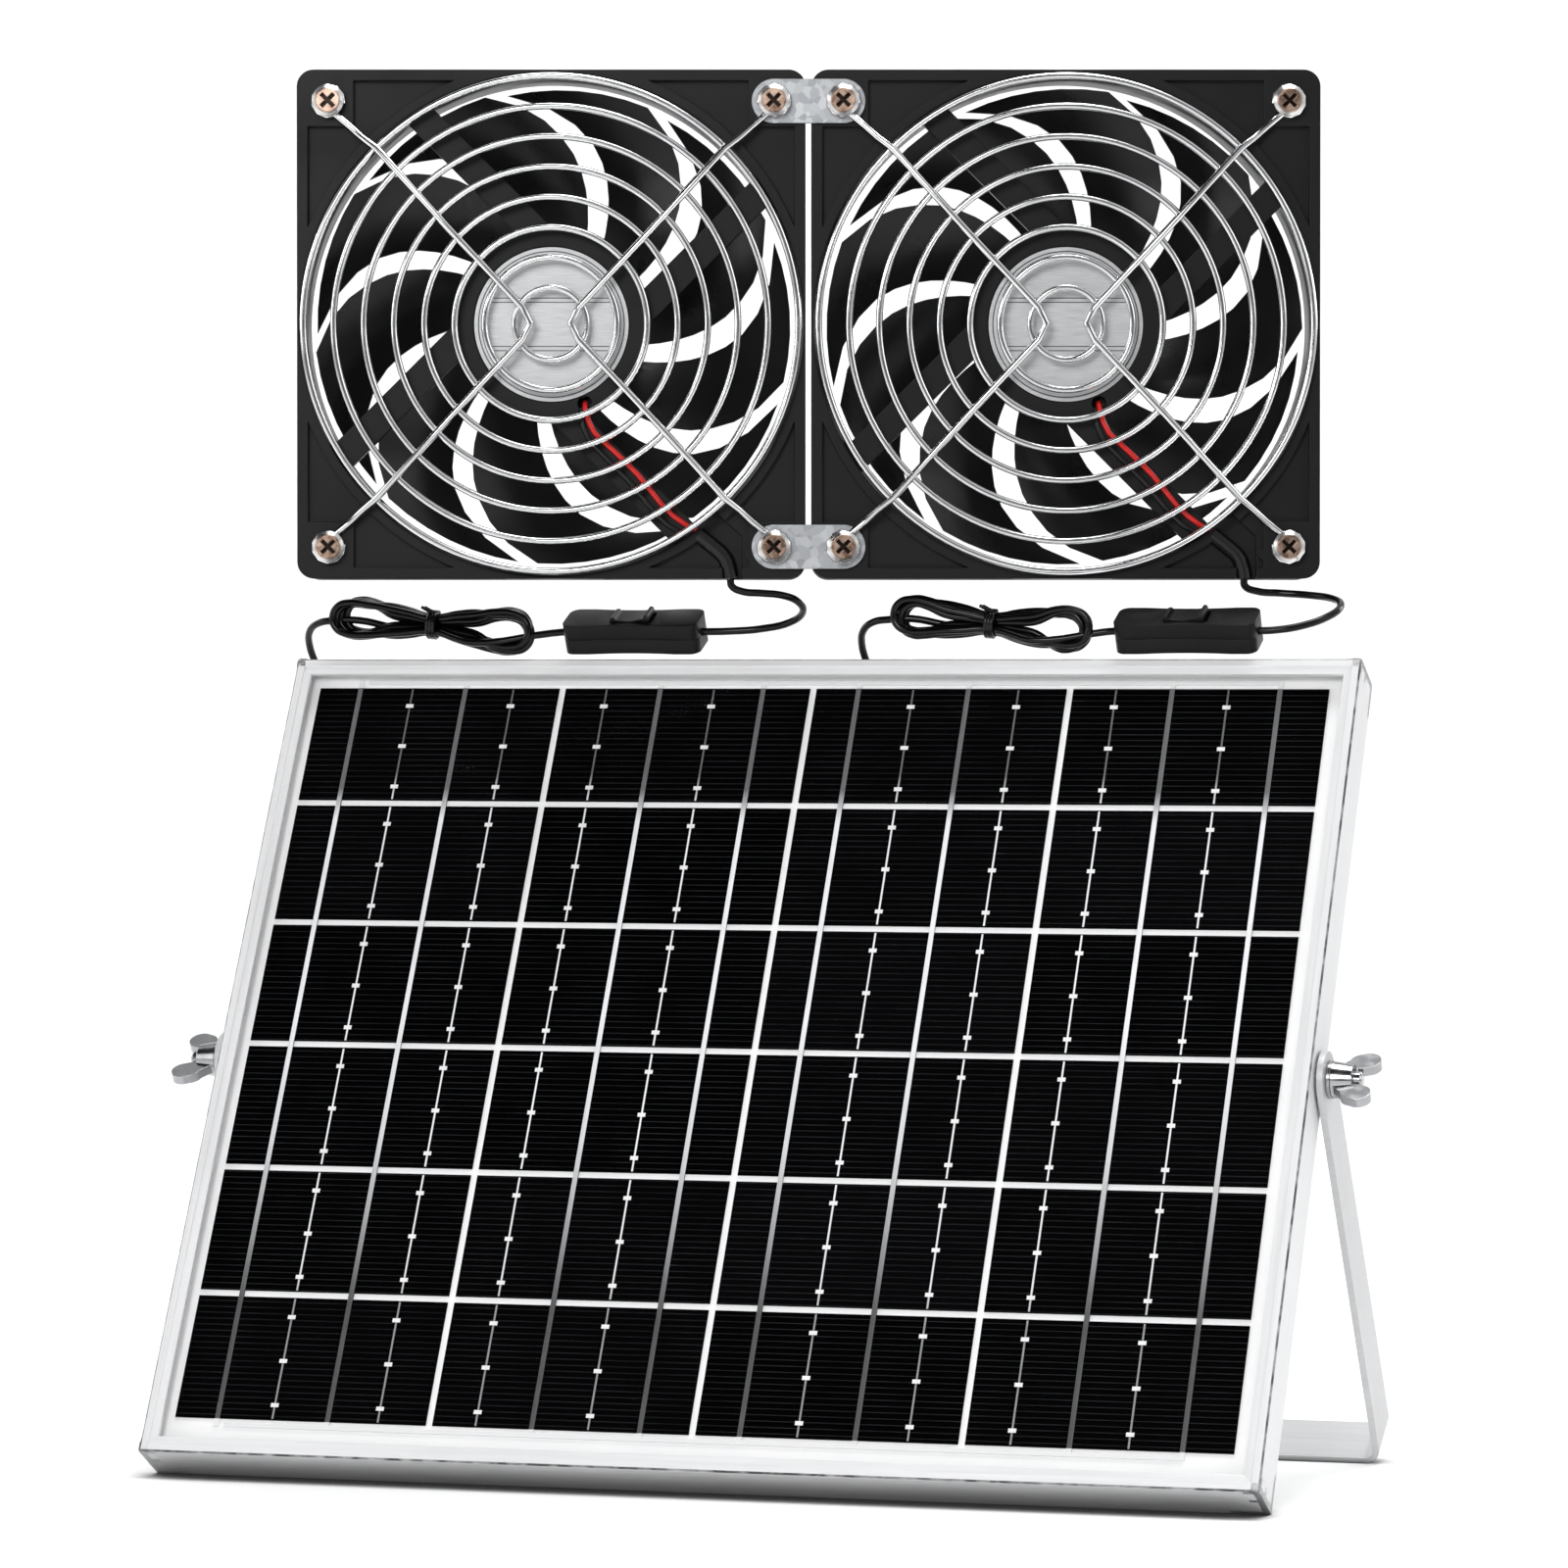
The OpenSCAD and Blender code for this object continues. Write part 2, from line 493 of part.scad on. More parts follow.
// plan of the switch with its waisted long sides, g inside the skin
module switch_plan(g) difference() {
  rsq(switch_l - 2 * g, sw_w - 2 * g, 2.4 - g);
  for (s = [-1, 1]) translate([0, s * (sw_w / 2 - g + 99.4)]) circle(100, $fn = 360);
}
module at_switch(x) at_panel() translate([x, sw_y, sw_z]) rotate([sw_roll, 0, 0]) children();
module switch_base(x) at_switch(x) difference() {
  translate([0, 0, -sw_h / 2]) linear_extrude(sw_h / 2) switch_plan(0);
  translate([0, 0, -sw_h / 2 + 1.2]) linear_extrude(sw_h) intersection() {
    switch_plan(1.2);
    square([switch_l - 8, 30], center = true);
  }
  cx(cr + 0.05, -switch_l, switch_l);
}
module switch_cover(x) at_switch(x) difference() {
  linear_extrude(sw_h / 2) switch_plan(0);
  translate([0, 0, -1]) linear_extrude(sw_h / 2 - 0.2) intersection() {
    switch_plan(1.2);
    square([switch_l - 8, 30], center = true);
  }
  translate([-5.3, -2.9, 0]) cube([10.6, 5.8, 9]);
  translate([0, 0, 1.9]) rotate([90, 0, 0]) cylinder(r = 0.75, h = 7.4, center = true);
  cx(cr + 0.05, -switch_l, switch_l);
}
// rocker turning on a cross pin, tipped a little to its left at rest
module rocker(x) at_switch(x) translate([0, 0, 1.9]) rotate([0, -4, 0]) {
  rotate([90, 0, 0]) translate([0, 0, -2.7]) linear_extrude(5.4) polygon([[-4.9, 2.2], [-4.7, 3.2],
    [-3.9, 3.3], [-3.3, 2.5], [0, 2], [3.3, 2.5], [3.9, 3.3], [4.7, 3.2], [4.9, 2.2], [4.6, 0.6],
    [1.3, -0.9], [-1.3, -0.9], [-4.6, 0.6]]);
  rotate([90, 0, 0]) cylinder(r = 0.7, h = 6.8, center = true);
}
sw_x = [-46.4, 90];
module switch_base_left() color([0.12, 0.12, 0.12]) switch_base(sw_x[0]);
module switch_base_right() color([0.12, 0.12, 0.12]) switch_base(sw_x[1]);
module switch_cover_left() color([0.12, 0.12, 0.12]) switch_cover(sw_x[0]);
module switch_cover_right() color([0.12, 0.12, 0.12]) switch_cover(sw_x[1]);
module rocker_left() color([0.15, 0.15, 0.15]) rocker(sw_x[0]);
module rocker_right() color([0.15, 0.15, 0.15]) rocker(sw_x[1]);

// ---------- cords, points in the panel's own turned frame ----------
fan_route_left = [[-17.5, 88, 207], [-17.2, 88.1, 205.3], [-14.8, 88.8, 204], [-10.6, 90.2, 203.6],
  [-6.2, 92.8, 203.1], [-3.6, 97.2, 201.6], [-3.8, 101.6, 199.2], [-8, 104.8, 196.8],
  [-15, 105.2, 195.3], [-23, 104, 194.7], [-29.3, 103.5, 194.6]];
fan_route_right = [[98.3, 124.3, 207], [98.5, 124.4, 205.3], [101, 125.4, 204.1], [106.4, 127.4, 203.6],
  [113.4, 127.4, 203.1], [119.8, 124.2, 202.2], [123.2, 117.6, 200.4], [121.6, 110.4, 197.8],
  [116, 105.4, 195.6], [111, 103.8, 194.8], [107.1, 103.5, 194.6]];
link_route_left = [[-63.5, 103.5, 194.6], [-67.6, 103.5, 194.3], [-72, 103.5, 194]];
link_route_right = [[72.9, 103.5, 194.6], [70, 103.5, 194.4], [67, 103.5, 194.2]];
panel_route_left = [[-124, 103.5, 197.4], [-127.8, 104.2, 196.9], [-131.2, 106.8, 195], [-132.8, 110.4, 191.6],
  [-132.2, 113.4, 186.6], [-129.4, 114.6, 178.6], [-125, 113, 168.6], [-118.4, 108.6, 158.6],
  [-108.6, 102, 150.6], [-98, 97, 147.2], [-90, 94.4, 147.4], [-83, 93.8, 148.5], [-77.9, 93.79, 148.69]];
panel_route_right = [[17, 103.5, 197.4], [13.2, 104.2, 196.9], [9.8, 106.8, 195], [8.2, 110.4, 191.6],
  [8.6, 113.4, 186.6], [10, 114.6, 178.6], [11.4, 112.6, 168.6], [11.2, 106.6, 158.4],
  [8.8, 99.8, 151.2], [4.6, 95.4, 148.8], [1, 94, 148.6], [-2.1, 93.79, 148.69]];
hank_h = 12;
hank_d = 7;
hank_z = 196.4;
hank_lean = 5;
hank_x = [[-124.4, -71.4], [16.6, 67.6]];
module at_hank(k) at_panel() translate([(hank_x[k][0] + hank_x[k][1]) / 2, sw_y, hank_z])
  rotate([0, hank_lean, 0]) children();
module hank(k) at_hank(k) fy(-hank_d / 2, hank_d / 2) stadium(hank_x[k][1] - hank_x[k][0], hank_h);
module hank_tie(k) at_hank(k) difference() {
  cube([3, hank_d + 1.2, hank_h + 1.2], center = true);
  cube([4, hank_d, hank_h], center = true);
}
module black_cord() color([0.08, 0.08, 0.08]) at_panel() children();
module cord_fan_left() black_cord() tube(fan_route_left, 15, cr);
module cord_fan_right() black_cord() tube(fan_route_right, 17, cr);
module cord_link_left() black_cord() tube(link_route_left, 2, cr);
module cord_link_right() black_cord() tube(link_route_right, 2, cr);
module cord_panel_left() black_cord() tube(panel_route_left, 20, cr, [1, 0.1, 0.2]);
module cord_panel_right() black_cord() tube(panel_route_right, 16, cr, [1, 0.1, 0.2]);
module hank_left() color([0.08, 0.08, 0.08]) hank(0);
module hank_right() color([0.08, 0.08, 0.08]) hank(1);
module hank_tie_left() color([0.1, 0.1, 0.1]) hank_tie(0);
module hank_tie_right() color([0.1, 0.1, 0.1]) hank_tie(1);

// ---------- drawing ----------
rail_top();
rail_bottom();
rail_left();
rail_right();
corner_keys();
glass_cover();
solar_cells();
backsheet();
junction_box();
junction_lid();
cable_glands();
pivot_bolts();
washers();
stand_bracket();
wing_nut_left();
wing_nut_right();
fan_frame_left();
impeller_left();
shaft_left();
bearings_left();
magnet_left();
stator_left();
driver_board_left();
hub_label_left();
finger_guard_left();
lead_red_left();
lead_black_left();
lead_sleeve_left();
fan_frame_right();
impeller_right();
shaft_right();
bearings_right();
magnet_right();
stator_right();
driver_board_right();
hub_label_right();
finger_guard_right();
lead_red_right();
lead_black_right();
lead_sleeve_right();
joint_plate_top();
joint_plate_bottom();
fan_screws();
switch_base_left();
switch_cover_left();
rocker_left();
cord_fan_left();
cord_link_left();
hank_left();
hank_tie_left();
cord_panel_left();
switch_base_right();
switch_cover_right();
rocker_right();
cord_fan_right();
cord_link_right();
hank_right();
hank_tie_right();
cord_panel_right();
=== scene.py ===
import bpy
import bmesh
import math
import random
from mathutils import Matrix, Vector


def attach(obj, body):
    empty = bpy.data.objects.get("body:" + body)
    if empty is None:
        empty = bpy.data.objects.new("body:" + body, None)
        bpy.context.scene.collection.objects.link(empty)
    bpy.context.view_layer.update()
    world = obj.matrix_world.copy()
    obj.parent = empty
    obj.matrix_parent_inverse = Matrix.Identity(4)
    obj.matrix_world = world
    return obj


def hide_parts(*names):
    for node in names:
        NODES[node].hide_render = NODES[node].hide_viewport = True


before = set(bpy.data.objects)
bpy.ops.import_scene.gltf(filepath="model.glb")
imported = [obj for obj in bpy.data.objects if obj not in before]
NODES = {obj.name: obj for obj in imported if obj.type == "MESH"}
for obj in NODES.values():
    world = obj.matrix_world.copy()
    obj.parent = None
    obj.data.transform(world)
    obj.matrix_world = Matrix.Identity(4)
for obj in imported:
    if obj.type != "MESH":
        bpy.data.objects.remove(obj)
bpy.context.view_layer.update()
SIDES = ("left", "right")

# ---------------------------------------------------------------- frames
# Design positions are in millimetres: x to the right, y away from the camera, z up.
OX, OY = -3.25, 65.4                  # the design point over the frame's origin
YAW = math.radians(17.4)              # the panel's turn about the vertical
TURN_X = 23.37                        # where that vertical lies along the panel's own x
TILT = math.radians(29)               # the panel's lean back from the vertical
PANEL_W, PANEL_H, PANEL_D = 264.0, 208.0, 13.0
FAN_X = (5.8 - 60.7, 5.8 + 60.7)      # the middles of the two fans
FAN_Y, FAN_Z = 94.6, 267.0
HALF_HOLE_PITCH = 52.5
CORD_D = 1.8


def row(x, y, z):
    """Design millimetres to the frame's metres."""
    return Vector(((x - OX) / 1000, (y - OY) / 1000, z / 1000))


def at_panel(x, y, z):
    """A point of the panel's own upright frame, which is turned by YAW."""
    c, s = math.cos(YAW), math.sin(YAW)
    return row((x - TURN_X) * c + y * s, -(x - TURN_X) * s + y * c, z)


def on_panel(u, w, v):
    """A point of the tilted panel: u across, w back from its front face, v up its height."""
    c, s = math.cos(TILT), math.sin(TILT)
    return at_panel(u, w * c + v * s, PANEL_D * s + v * c - w * s)


def at_fan(k, x, y, z):
    """A point measured from the middle of fan k's front face."""
    return row(FAN_X[k] + x, FAN_Y + y, FAN_Z + z)


PANEL_O = on_panel(0, 0, 0)
U = (on_panel(1000, 0, 0) - PANEL_O).normalized()
W = (on_panel(0, 1000, 0) - PANEL_O).normalized()
V = (on_panel(0, 0, 1000) - PANEL_O).normalized()

# ---------------------------------------------------------------- camera
CAMERA_Y = -1524.7                    # design millimetres
CAMERA_Z = 0.1862                     # metres
CAMERA_DIP = 0.979                    # degrees below level
scene = bpy.context.scene
cam_data = bpy.data.cameras.new("camera")
cam = bpy.data.objects.new("camera", cam_data)
scene.collection.objects.link(cam)
cam.location = (-OX / 1000, (CAMERA_Y - OY) / 1000, CAMERA_Z)
cam.rotation_euler = (math.radians(90 - CAMERA_DIP), 0, 0)
cam_data.lens = 157.44
cam_data.sensor_width = 36
cam_data.clip_start = 0.05
cam_data.clip_end = 30
scene.camera = cam


# ---------------------------------------------------------------- helpers
def place(obj, body):
    scene.collection.objects.link(obj)
    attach(obj, body)
    return obj


def curve(name, pts, r, res, ring):
    """A round wire of radius r metres. Its bevel is in millimetres, scaled down by the points."""
    cu = bpy.data.curves.new(name, "CURVE")
    cu.dimensions = "3D"
    sp = cu.splines.new("BEZIER")
    sp.bezier_points.add(len(pts) - 1)
    for b, p in zip(sp.bezier_points, pts):
        b.co = p
        b.handle_left_type = b.handle_right_type = "AUTO"
        b.radius = 0.001
    cu.bevel_depth = r * 1000
    cu.bevel_resolution = ring
    cu.resolution_u = res
    cu.use_fill_caps = True
    return bpy.data.objects.new(name, cu)


def smoothstep(t):
    t = max(0.0, min(1.0, t))
    return t * t * (3 - 2 * t)


# ---------------------------------------------------------------- cords
# The routes are in the panel's upright frame: from the fan, through the switch, into the
# hank, and from the hank behind the panel to the gland.
FAN_ROUTE = {
    "left": [(-17.5, 88, 207), (-17.2, 88.1, 205.3), (-14.8, 88.8, 204), (-10.6, 90.2, 203.6),
        (-6.2, 92.8, 203.1), (-3.6, 97.2, 201.6), (-3.8, 101.6, 199.2), (-8, 104.8, 196.8),
        (-15, 105.2, 195.3), (-23, 104, 194.7), (-29.3, 103.5, 194.6)],
    "right": [(98.3, 124.3, 207), (98.5, 124.4, 205.3), (101, 125.4, 204.1),
        (106.4, 127.4, 203.6), (113.4, 127.4, 203.1), (119.8, 124.2, 202.2),
        (123.2, 117.6, 200.4), (121.6, 110.4, 197.8), (116, 105.4, 195.6), (111, 103.8, 194.8),
        (107.1, 103.5, 194.6)],
}
SWITCH_RUN = {
    "left": [(-38, 103.5, 194.6), (-46.4, 103.5, 194.6), (-55, 103.5, 194.6),
        (-63.5, 103.5, 194.6), (-67.6, 103.5, 194.3)],
    "right": [(98.5, 103.5, 194.6), (90, 103.5, 194.6), (81.5, 103.5, 194.6),
        (72.9, 103.5, 194.6), (70, 103.5, 194.4)],
}
PANEL_ROUTE = {
    "left": [(-124, 103.5, 197.4), (-127.8, 104.2, 196.9), (-131.2, 106.8, 195),
        (-132.8, 110.4, 191.6), (-132.2, 113.4, 186.6), (-129.4, 114.6, 178.6),
        (-125, 113, 168.6), (-118.4, 108.6, 158.6), (-108.6, 102, 150.6), (-98, 97, 147.2),
        (-90, 94.4, 147.4), (-83, 93.8, 148.5), (-77.9, 93.79, 148.69)],
    "right": [(17, 103.5, 197.4), (13.2, 104.2, 196.9), (9.8, 106.8, 195), (8.2, 110.4, 191.6),
        (8.6, 113.4, 186.6), (10, 114.6, 178.6), (11.4, 112.6, 168.6), (11.2, 106.6, 158.4),
        (8.8, 99.8, 151.2), (4.6, 95.4, 148.8), (1, 94, 148.6), (-2.1, 93.79, 148.69)],
}
HANK_X = {"left": (-124.4, -71.4), "right": (16.6, 67.6)}
HANK_Y, HANK_Z = 103.5, 196.4
LEAN = math.radians(5)                # the hanks hang a little lower at the right
TURNS = 5
HANK_SEED = {"left": 11, "right": 23}
HANK_DEPTH = 2.6                      # the runs lie this far before and behind the middle
DEPTH_STEPS = TURNS + 0.55            # the turns share that thickness in these steps
FOLD_R = {"l": 3.75, "r": 4.1}
FOLD_LIFT = {"l": 0.75, "r": 1.0}     # how far a fold's middle may lie above or below
FOLD_SHORT = 3.4                      # how far before the hank's end a fold may turn back
FOLD_ANGLES = (0, 45, 90, 135, 180)
TIED_Z = (0.35, 1.75)                 # under the tie: innermost run, and spread of the others
FREE_Z = (0.6, 3.6)                   # the same, beside the tie
PINCH_END, FOLD_START, EASE = 1.0, 9.0, 9.0   # where a run leaves the tie and nears a fold
STATIONS = (-16, -11, -6, -2, 2, 6, 11, 16)
HANK_EXIT = 19.5                      # the cord comes free this far left of the middle


def hank_point(side, x, y, z):
    c, s = math.cos(LEAN), math.sin(LEAN)
    mid = sum(HANK_X[side]) / 2
    return (mid + x * c + z * s, HANK_Y + y, HANK_Z - x * s + z * c)


def depth_at(step):
    return -HANK_DEPTH + 2 * HANK_DEPTH * step / DEPTH_STEPS


def hank_turns(side):
    """Points of the folded turns, in the panel's upright frame. Each fold is an open half
    circle, and the runs between the folds lie at their own heights, pinched together under
    the tie."""
    rnd = random.Random(HANK_SEED[side])
    half = (HANK_X[side][1] - HANK_X[side][0]) / 2 - CORD_D / 2
    order = {"top": rnd.sample(range(TURNS), TURNS),
             "low": rnd.sample(range(TURNS + 1), TURNS + 1)}
    lift = {"l": rnd.sample(range(TURNS), TURNS),
            "r": rnd.sample(range(TURNS + 1), TURNS + 1)}
    out = []

    def fold_z(lobe, i):
        """Height of the middle of fold i."""
        i = min(i, len(lift[lobe]) - 1)
        return FOLD_LIFT[lobe] * (2 * (lift[lobe][i] + 0.5) / len(lift[lobe]) - 1)

    def run(xs, kind, i, end_z, step0, step1):
        """One run between the folds, from fold to fold through its own place in the bundle."""
        sign = 1 if kind == "top" else -1
        rank = (order[kind][i] + 0.5) / len(order[kind])
        z_tied = sign * (TIED_Z[0] + TIED_Z[1] * rank)
        for j, x in enumerate(xs):
            lobe = "l" if x < 0 else "r"
            out_of_tie = smoothstep((abs(x) - PINCH_END) / EASE)
            into_fold = smoothstep((abs(x) - FOLD_START) / EASE)
            z_free = sign * (FREE_Z[0] + FREE_Z[1] * rank) * (FOLD_R[lobe] + 0.9) / 5.0
            z = z_tied + (z_free - z_tied) * out_of_tie
            z = z + (end_z[lobe] - z) * into_fold
            y = depth_at(i + step0 + (step1 - step0) * j / (len(xs) - 1))
            out.append((x, y * (0.6 + 0.4 * out_of_tie), z))

    def fold(lobe, x_mid, z_mid, step):
        """A half circle from below to above, or the other way at the right."""
        r, sign = FOLD_R[lobe], -1 if lobe == "l" else 1
        for a in FOLD_ANGLES:
            t = math.radians(a)
            out.append((x_mid + sign * r * math.sin(t), depth_at(step),
                        z_mid + sign * r * math.cos(t)))

    # a turn: low run, left fold, top run, right fold, each a little further back
    for i in range(TURNS + 1):
        last = i == TURNS
        z_left, z_right, z_next = fold_z("l", i), fold_z("r", i), fold_z("r", i + 1)
        x_left = FOLD_R["l"] - (half - rnd.uniform(0.0, FOLD_SHORT))
        x_right = half - rnd.uniform(0.0, FOLD_SHORT) - FOLD_R["r"]
        xs = STATIONS[::-1]
        if i == 0:
            xs = xs[1:]
        if last:
            xs = xs[:-1]
        run(xs, "low", i, {"l": z_left - FOLD_R["l"], "r": z_right - FOLD_R["r"]}, 0.0, 0.4)
        if last:                      # the last run leads out of the hank at its left end
            x, y, z = out[-1]
            out[-1] = (x, y * 0.7, z * 0.75)
            out.append((-HANK_EXIT, y * 0.3, z * 0.3))
            break
        fold("l", x_left, z_left, i + 0.45)
        run(STATIONS, "top", i, {"l": z_left + FOLD_R["l"], "r": z_next + FOLD_R["r"]}, 0.5, 0.9)
        fold("r", x_right, z_next, i + 0.95)
    return [hank_point(side, *p) for p in out]


cords = {}
for side in SIDES:
    pts = FAN_ROUTE[side] + SWITCH_RUN[side] + hank_turns(side) + PANEL_ROUTE[side]
    cord = curve("cord_" + side, [at_panel(*p) for p in pts], CORD_D / 2000, res=5, ring=3)
    place(cord, "panel")
    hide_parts("cord_fan_" + side, "cord_link_" + side, "hank_" + side, "cord_panel_" + side)
    cords[side] = cord

TIE_TURNS = 3
TIE_STEPS = 14                        # points to a turn
TIE_HALF_WIDTH, TIE_DEEP, TIE_HIGH = 1.1, 3.2, 3.1
TIE_R, TIE_END_R = 0.00052, 0.00042    # metres


def tie_points(side):
    """A thin tie wound round the pinched middle of the hank."""
    out = []
    count = TIE_TURNS * TIE_STEPS
    for i in range(count + 1):
        a = 2 * math.pi * i / TIE_STEPS + math.pi / 2
        out.append((-TIE_HALF_WIDTH + 2 * TIE_HALF_WIDTH * i / count,
                    -TIE_DEEP * math.cos(a), TIE_HIGH * math.sin(a)))
    return [at_panel(*hank_point(side, *p)) for p in out]


def tie_end(side, sign):
    """One of the two ends, twisted about the other over a few millimetres. It starts at the
    tie's front and drifts left, forward and up."""
    out = []
    for i in range(11):
        a = math.pi * 2 * i / 7 + (0 if sign > 0 else math.pi)
        fade = min(1, i / 2)
        out.append((sign * 0.9 * (1 - fade) + 0.5 * math.cos(a) * fade - 0.16 * i,
                    -1.6 - 0.5 * math.sin(a) * fade - 0.18 * i,
                    3.0 + 0.10 * i))
    return [at_panel(*hank_point(side, *p)) for p in out]


ties = {}
for side in SIDES:
    t = curve("tie_loop_" + side, tie_points(side), TIE_R, res=4, ring=2)
    e1 = curve("tie_end_a_" + side, tie_end(side, 1), TIE_END_R, res=3, ring=2)
    e2 = curve("tie_end_b_" + side, tie_end(side, -1), TIE_END_R, res=3, ring=2)
    ties[side] = (t, e1, e2)
    for piece in ties[side]:
        place(piece, "panel")
    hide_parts("hank_tie_" + side)


# ---------------------------------------------------------------- material kit
# Sizes that the materials draw, in millimetres.
ARRIS_WIDTH = 0.46
CROSS_HALF_WIDTH, CROSS_REACH = 0.62, 2.05
LABEL_RING_R, LABEL_RULE_REACH = 17.2, 15.6
LABEL_RULES = (5.2, 6.2, -5.2, -6.2)
GLASS_GLOSS = 0.55                    # share of a bare pane's gloss
COLUMNS, ROWS = 4, 6
CELL_GAP = 1.6
CELL_EDGE_U, CELL_EDGE_V = 6.7, 8.2   # from the panel's edge to the outer cells
CELL_DU, CELL_DV = -1.1, 2.2          # the whole grid lies this far off the middle
CELL_W = (PANEL_W - 2 * CELL_EDGE_U - (COLUMNS - 1) * CELL_GAP) / COLUMNS
CELL_H = (PANEL_H - 2 * CELL_EDGE_V - (ROWS - 1) * CELL_GAP) / ROWS
FINGER_PITCH = 1.5
FINGER_SHARE = 0.17                   # share of the pitch that is line


def scaled(base, k):
    return tuple(min(1, c * k) for c in base)


class Mat:
    """A material on the Principled shader, with short ways to add procedural nodes.
    Texture coordinates are object coordinates, in metres."""

    def __init__(self, name, base=(0.5, 0.5, 0.5), rough=0.5, metal=0.0):
        self.m = bpy.data.materials.new(name)
        self.m.use_nodes = True
        self.nt = self.m.node_tree
        self.b = self.nt.nodes["Principled BSDF"]
        self.set("Base Color", (*base, 1))
        self.set("Roughness", rough)
        self.set("Metallic", metal)
        coordinates = self.nt.nodes.new("ShaderNodeTexCoord")
        self.co = coordinates.outputs["Object"]
        self.normal = coordinates.outputs["Normal"]

    def set(self, key, v):
        self.b.inputs[key].default_value = v

    def put(self, a, b):
        self.nt.links.new(a, b)

    def n(self, kind, **kw):
        x = self.nt.nodes.new("ShaderNode" + kind)
        for k, v in kw.items():
            setattr(x, k, v)
        return x

    def math(self, op, a, b=None):
        """A Math node; a and b are numbers or sockets."""
        x = self.n("Math", operation=op)
        for i, v in enumerate((a, b)):
            if isinstance(v, (int, float)):
                x.inputs[i].default_value = v
            elif v is not None:
                self.put(v, x.inputs[i])
        return x.outputs[0]

    def vector(self, op, a, b):
        """A VectorMath node on socket a and the constant b."""
        x = self.n("VectorMath", operation=op)
        self.put(a, x.inputs[0])
        x.inputs[1].default_value = b
        return x

    def along(self, axis):
        """Object coordinates measured along a unit axis, in metres."""
        return self.vector("DOT_PRODUCT", self.co, axis).outputs["Value"]

    def panel_mm(self, axis):
        """Millimetres along one of the panel's axes, from the panel's own origin."""
        here = self.vector("SUBTRACT", self.co, PANEL_O).outputs[0]
        metres = self.vector("DOT_PRODUCT", here, axis).outputs["Value"]
        return self.math("MULTIPLY", metres, 1000.0)

    def noise(self, scale, detail=4, rough=0.55, vec=None):
        x = self.n("TexNoise")
        x.inputs["Scale"].default_value = scale
        x.inputs["Detail"].default_value = detail
        x.inputs["Roughness"].default_value = rough
        self.put(vec if vec is not None else self.co, x.inputs["Vector"])
        return x.outputs["Fac"]

    def stretched(self, axis_fine_a, axis_fine_b, axis_long, ratio=0.03):
        """Coordinates that draw a texture out along one axis."""
        v = self.n("CombineXYZ")
        self.put(self.along(axis_fine_a), v.inputs[0])
        self.put(self.along(axis_fine_b), v.inputs[1])
        self.put(self.math("MULTIPLY", self.along(axis_long), ratio), v.inputs[2])
        return v.outputs[0]

    def ramp(self, fac, stops):
        x = self.n("ValToRGB")
        el = x.color_ramp.elements
        while len(el) < len(stops):
            el.new(0.5)
        for e, (p, c) in zip(el, stops):
            e.position = p
            e.color = (*c, 1)
        self.put(fac, x.inputs[0])
        return x.outputs[0]

    def mixc(self, fac, a, b):
        """Colour a where fac is 0 and b where it is 1; each is a colour or a socket."""
        x = self.n("Mix", data_type="RGBA")
        for key, v in ((0, fac), (6, a), (7, b)):
            if isinstance(v, tuple):
                x.inputs[key].default_value = (*v, 1)
            else:
                self.put(v, x.inputs[key])
        return x.outputs[2]

    def span(self, fac, lo, hi, a=0.0, b=1.0):
        """Map lo..hi to a..b."""
        x = self.n("MapRange")
        self.put(fac, x.inputs[0])
        for i, v in enumerate((lo, hi, a, b)):
            x.inputs[i + 1].default_value = v
        return x.outputs[0]

    def color(self, out):
        self.put(out, self.b.inputs["Base Color"])

    def rough(self, out):
        self.put(out, self.b.inputs["Roughness"])

    def bump(self, height, strength, dist, bevel=None):
        """Surface relief, on edges that look rounded where a bevel radius is given."""
        bp = self.n("Bump")
        bp.inputs["Strength"].default_value = strength
        bp.inputs["Distance"].default_value = dist
        self.put(height, bp.inputs["Height"])
        if bevel:
            bv = self.n("Bevel", samples=6)
            bv.inputs["Radius"].default_value = bevel
            self.put(bv.outputs[0], bp.inputs["Normal"])
        self.put(bp.outputs[0], self.b.inputs["Normal"])


def brushed(m, base, dark, bright, long_axis, fine_a, fine_b):
    """Fine grain along one axis over broad patches. Returns the grain and the colour."""
    grain = m.noise(900, 3, 0.6, m.stretched(fine_a, fine_b, long_axis))
    broad = m.noise(22, 3)
    shade = m.math("ADD", m.math("MULTIPLY", grain, 0.6), m.math("MULTIPLY", broad, 0.4))
    return grain, m.ramp(shade, [(0.3, scaled(base, dark)), (0.7, scaled(base, bright))])


def finish_brushed(m, grain, rough, bevel):
    m.rough(m.span(grain, 0.25, 0.75, rough - 0.06, rough + 0.08))
    m.bump(grain, 0.10, 0.00005, bevel)
    return m.m


def make_strap():
    base, rough = (0.56, 0.563, 0.57), 0.40
    m = Mat("strap_satin", base, rough, 0.15)
    grain, tone = brushed(m, base, 0.90, 1.06, U, V, W)
    m.color(tone)
    return finish_brushed(m, grain, rough, 0.00035)


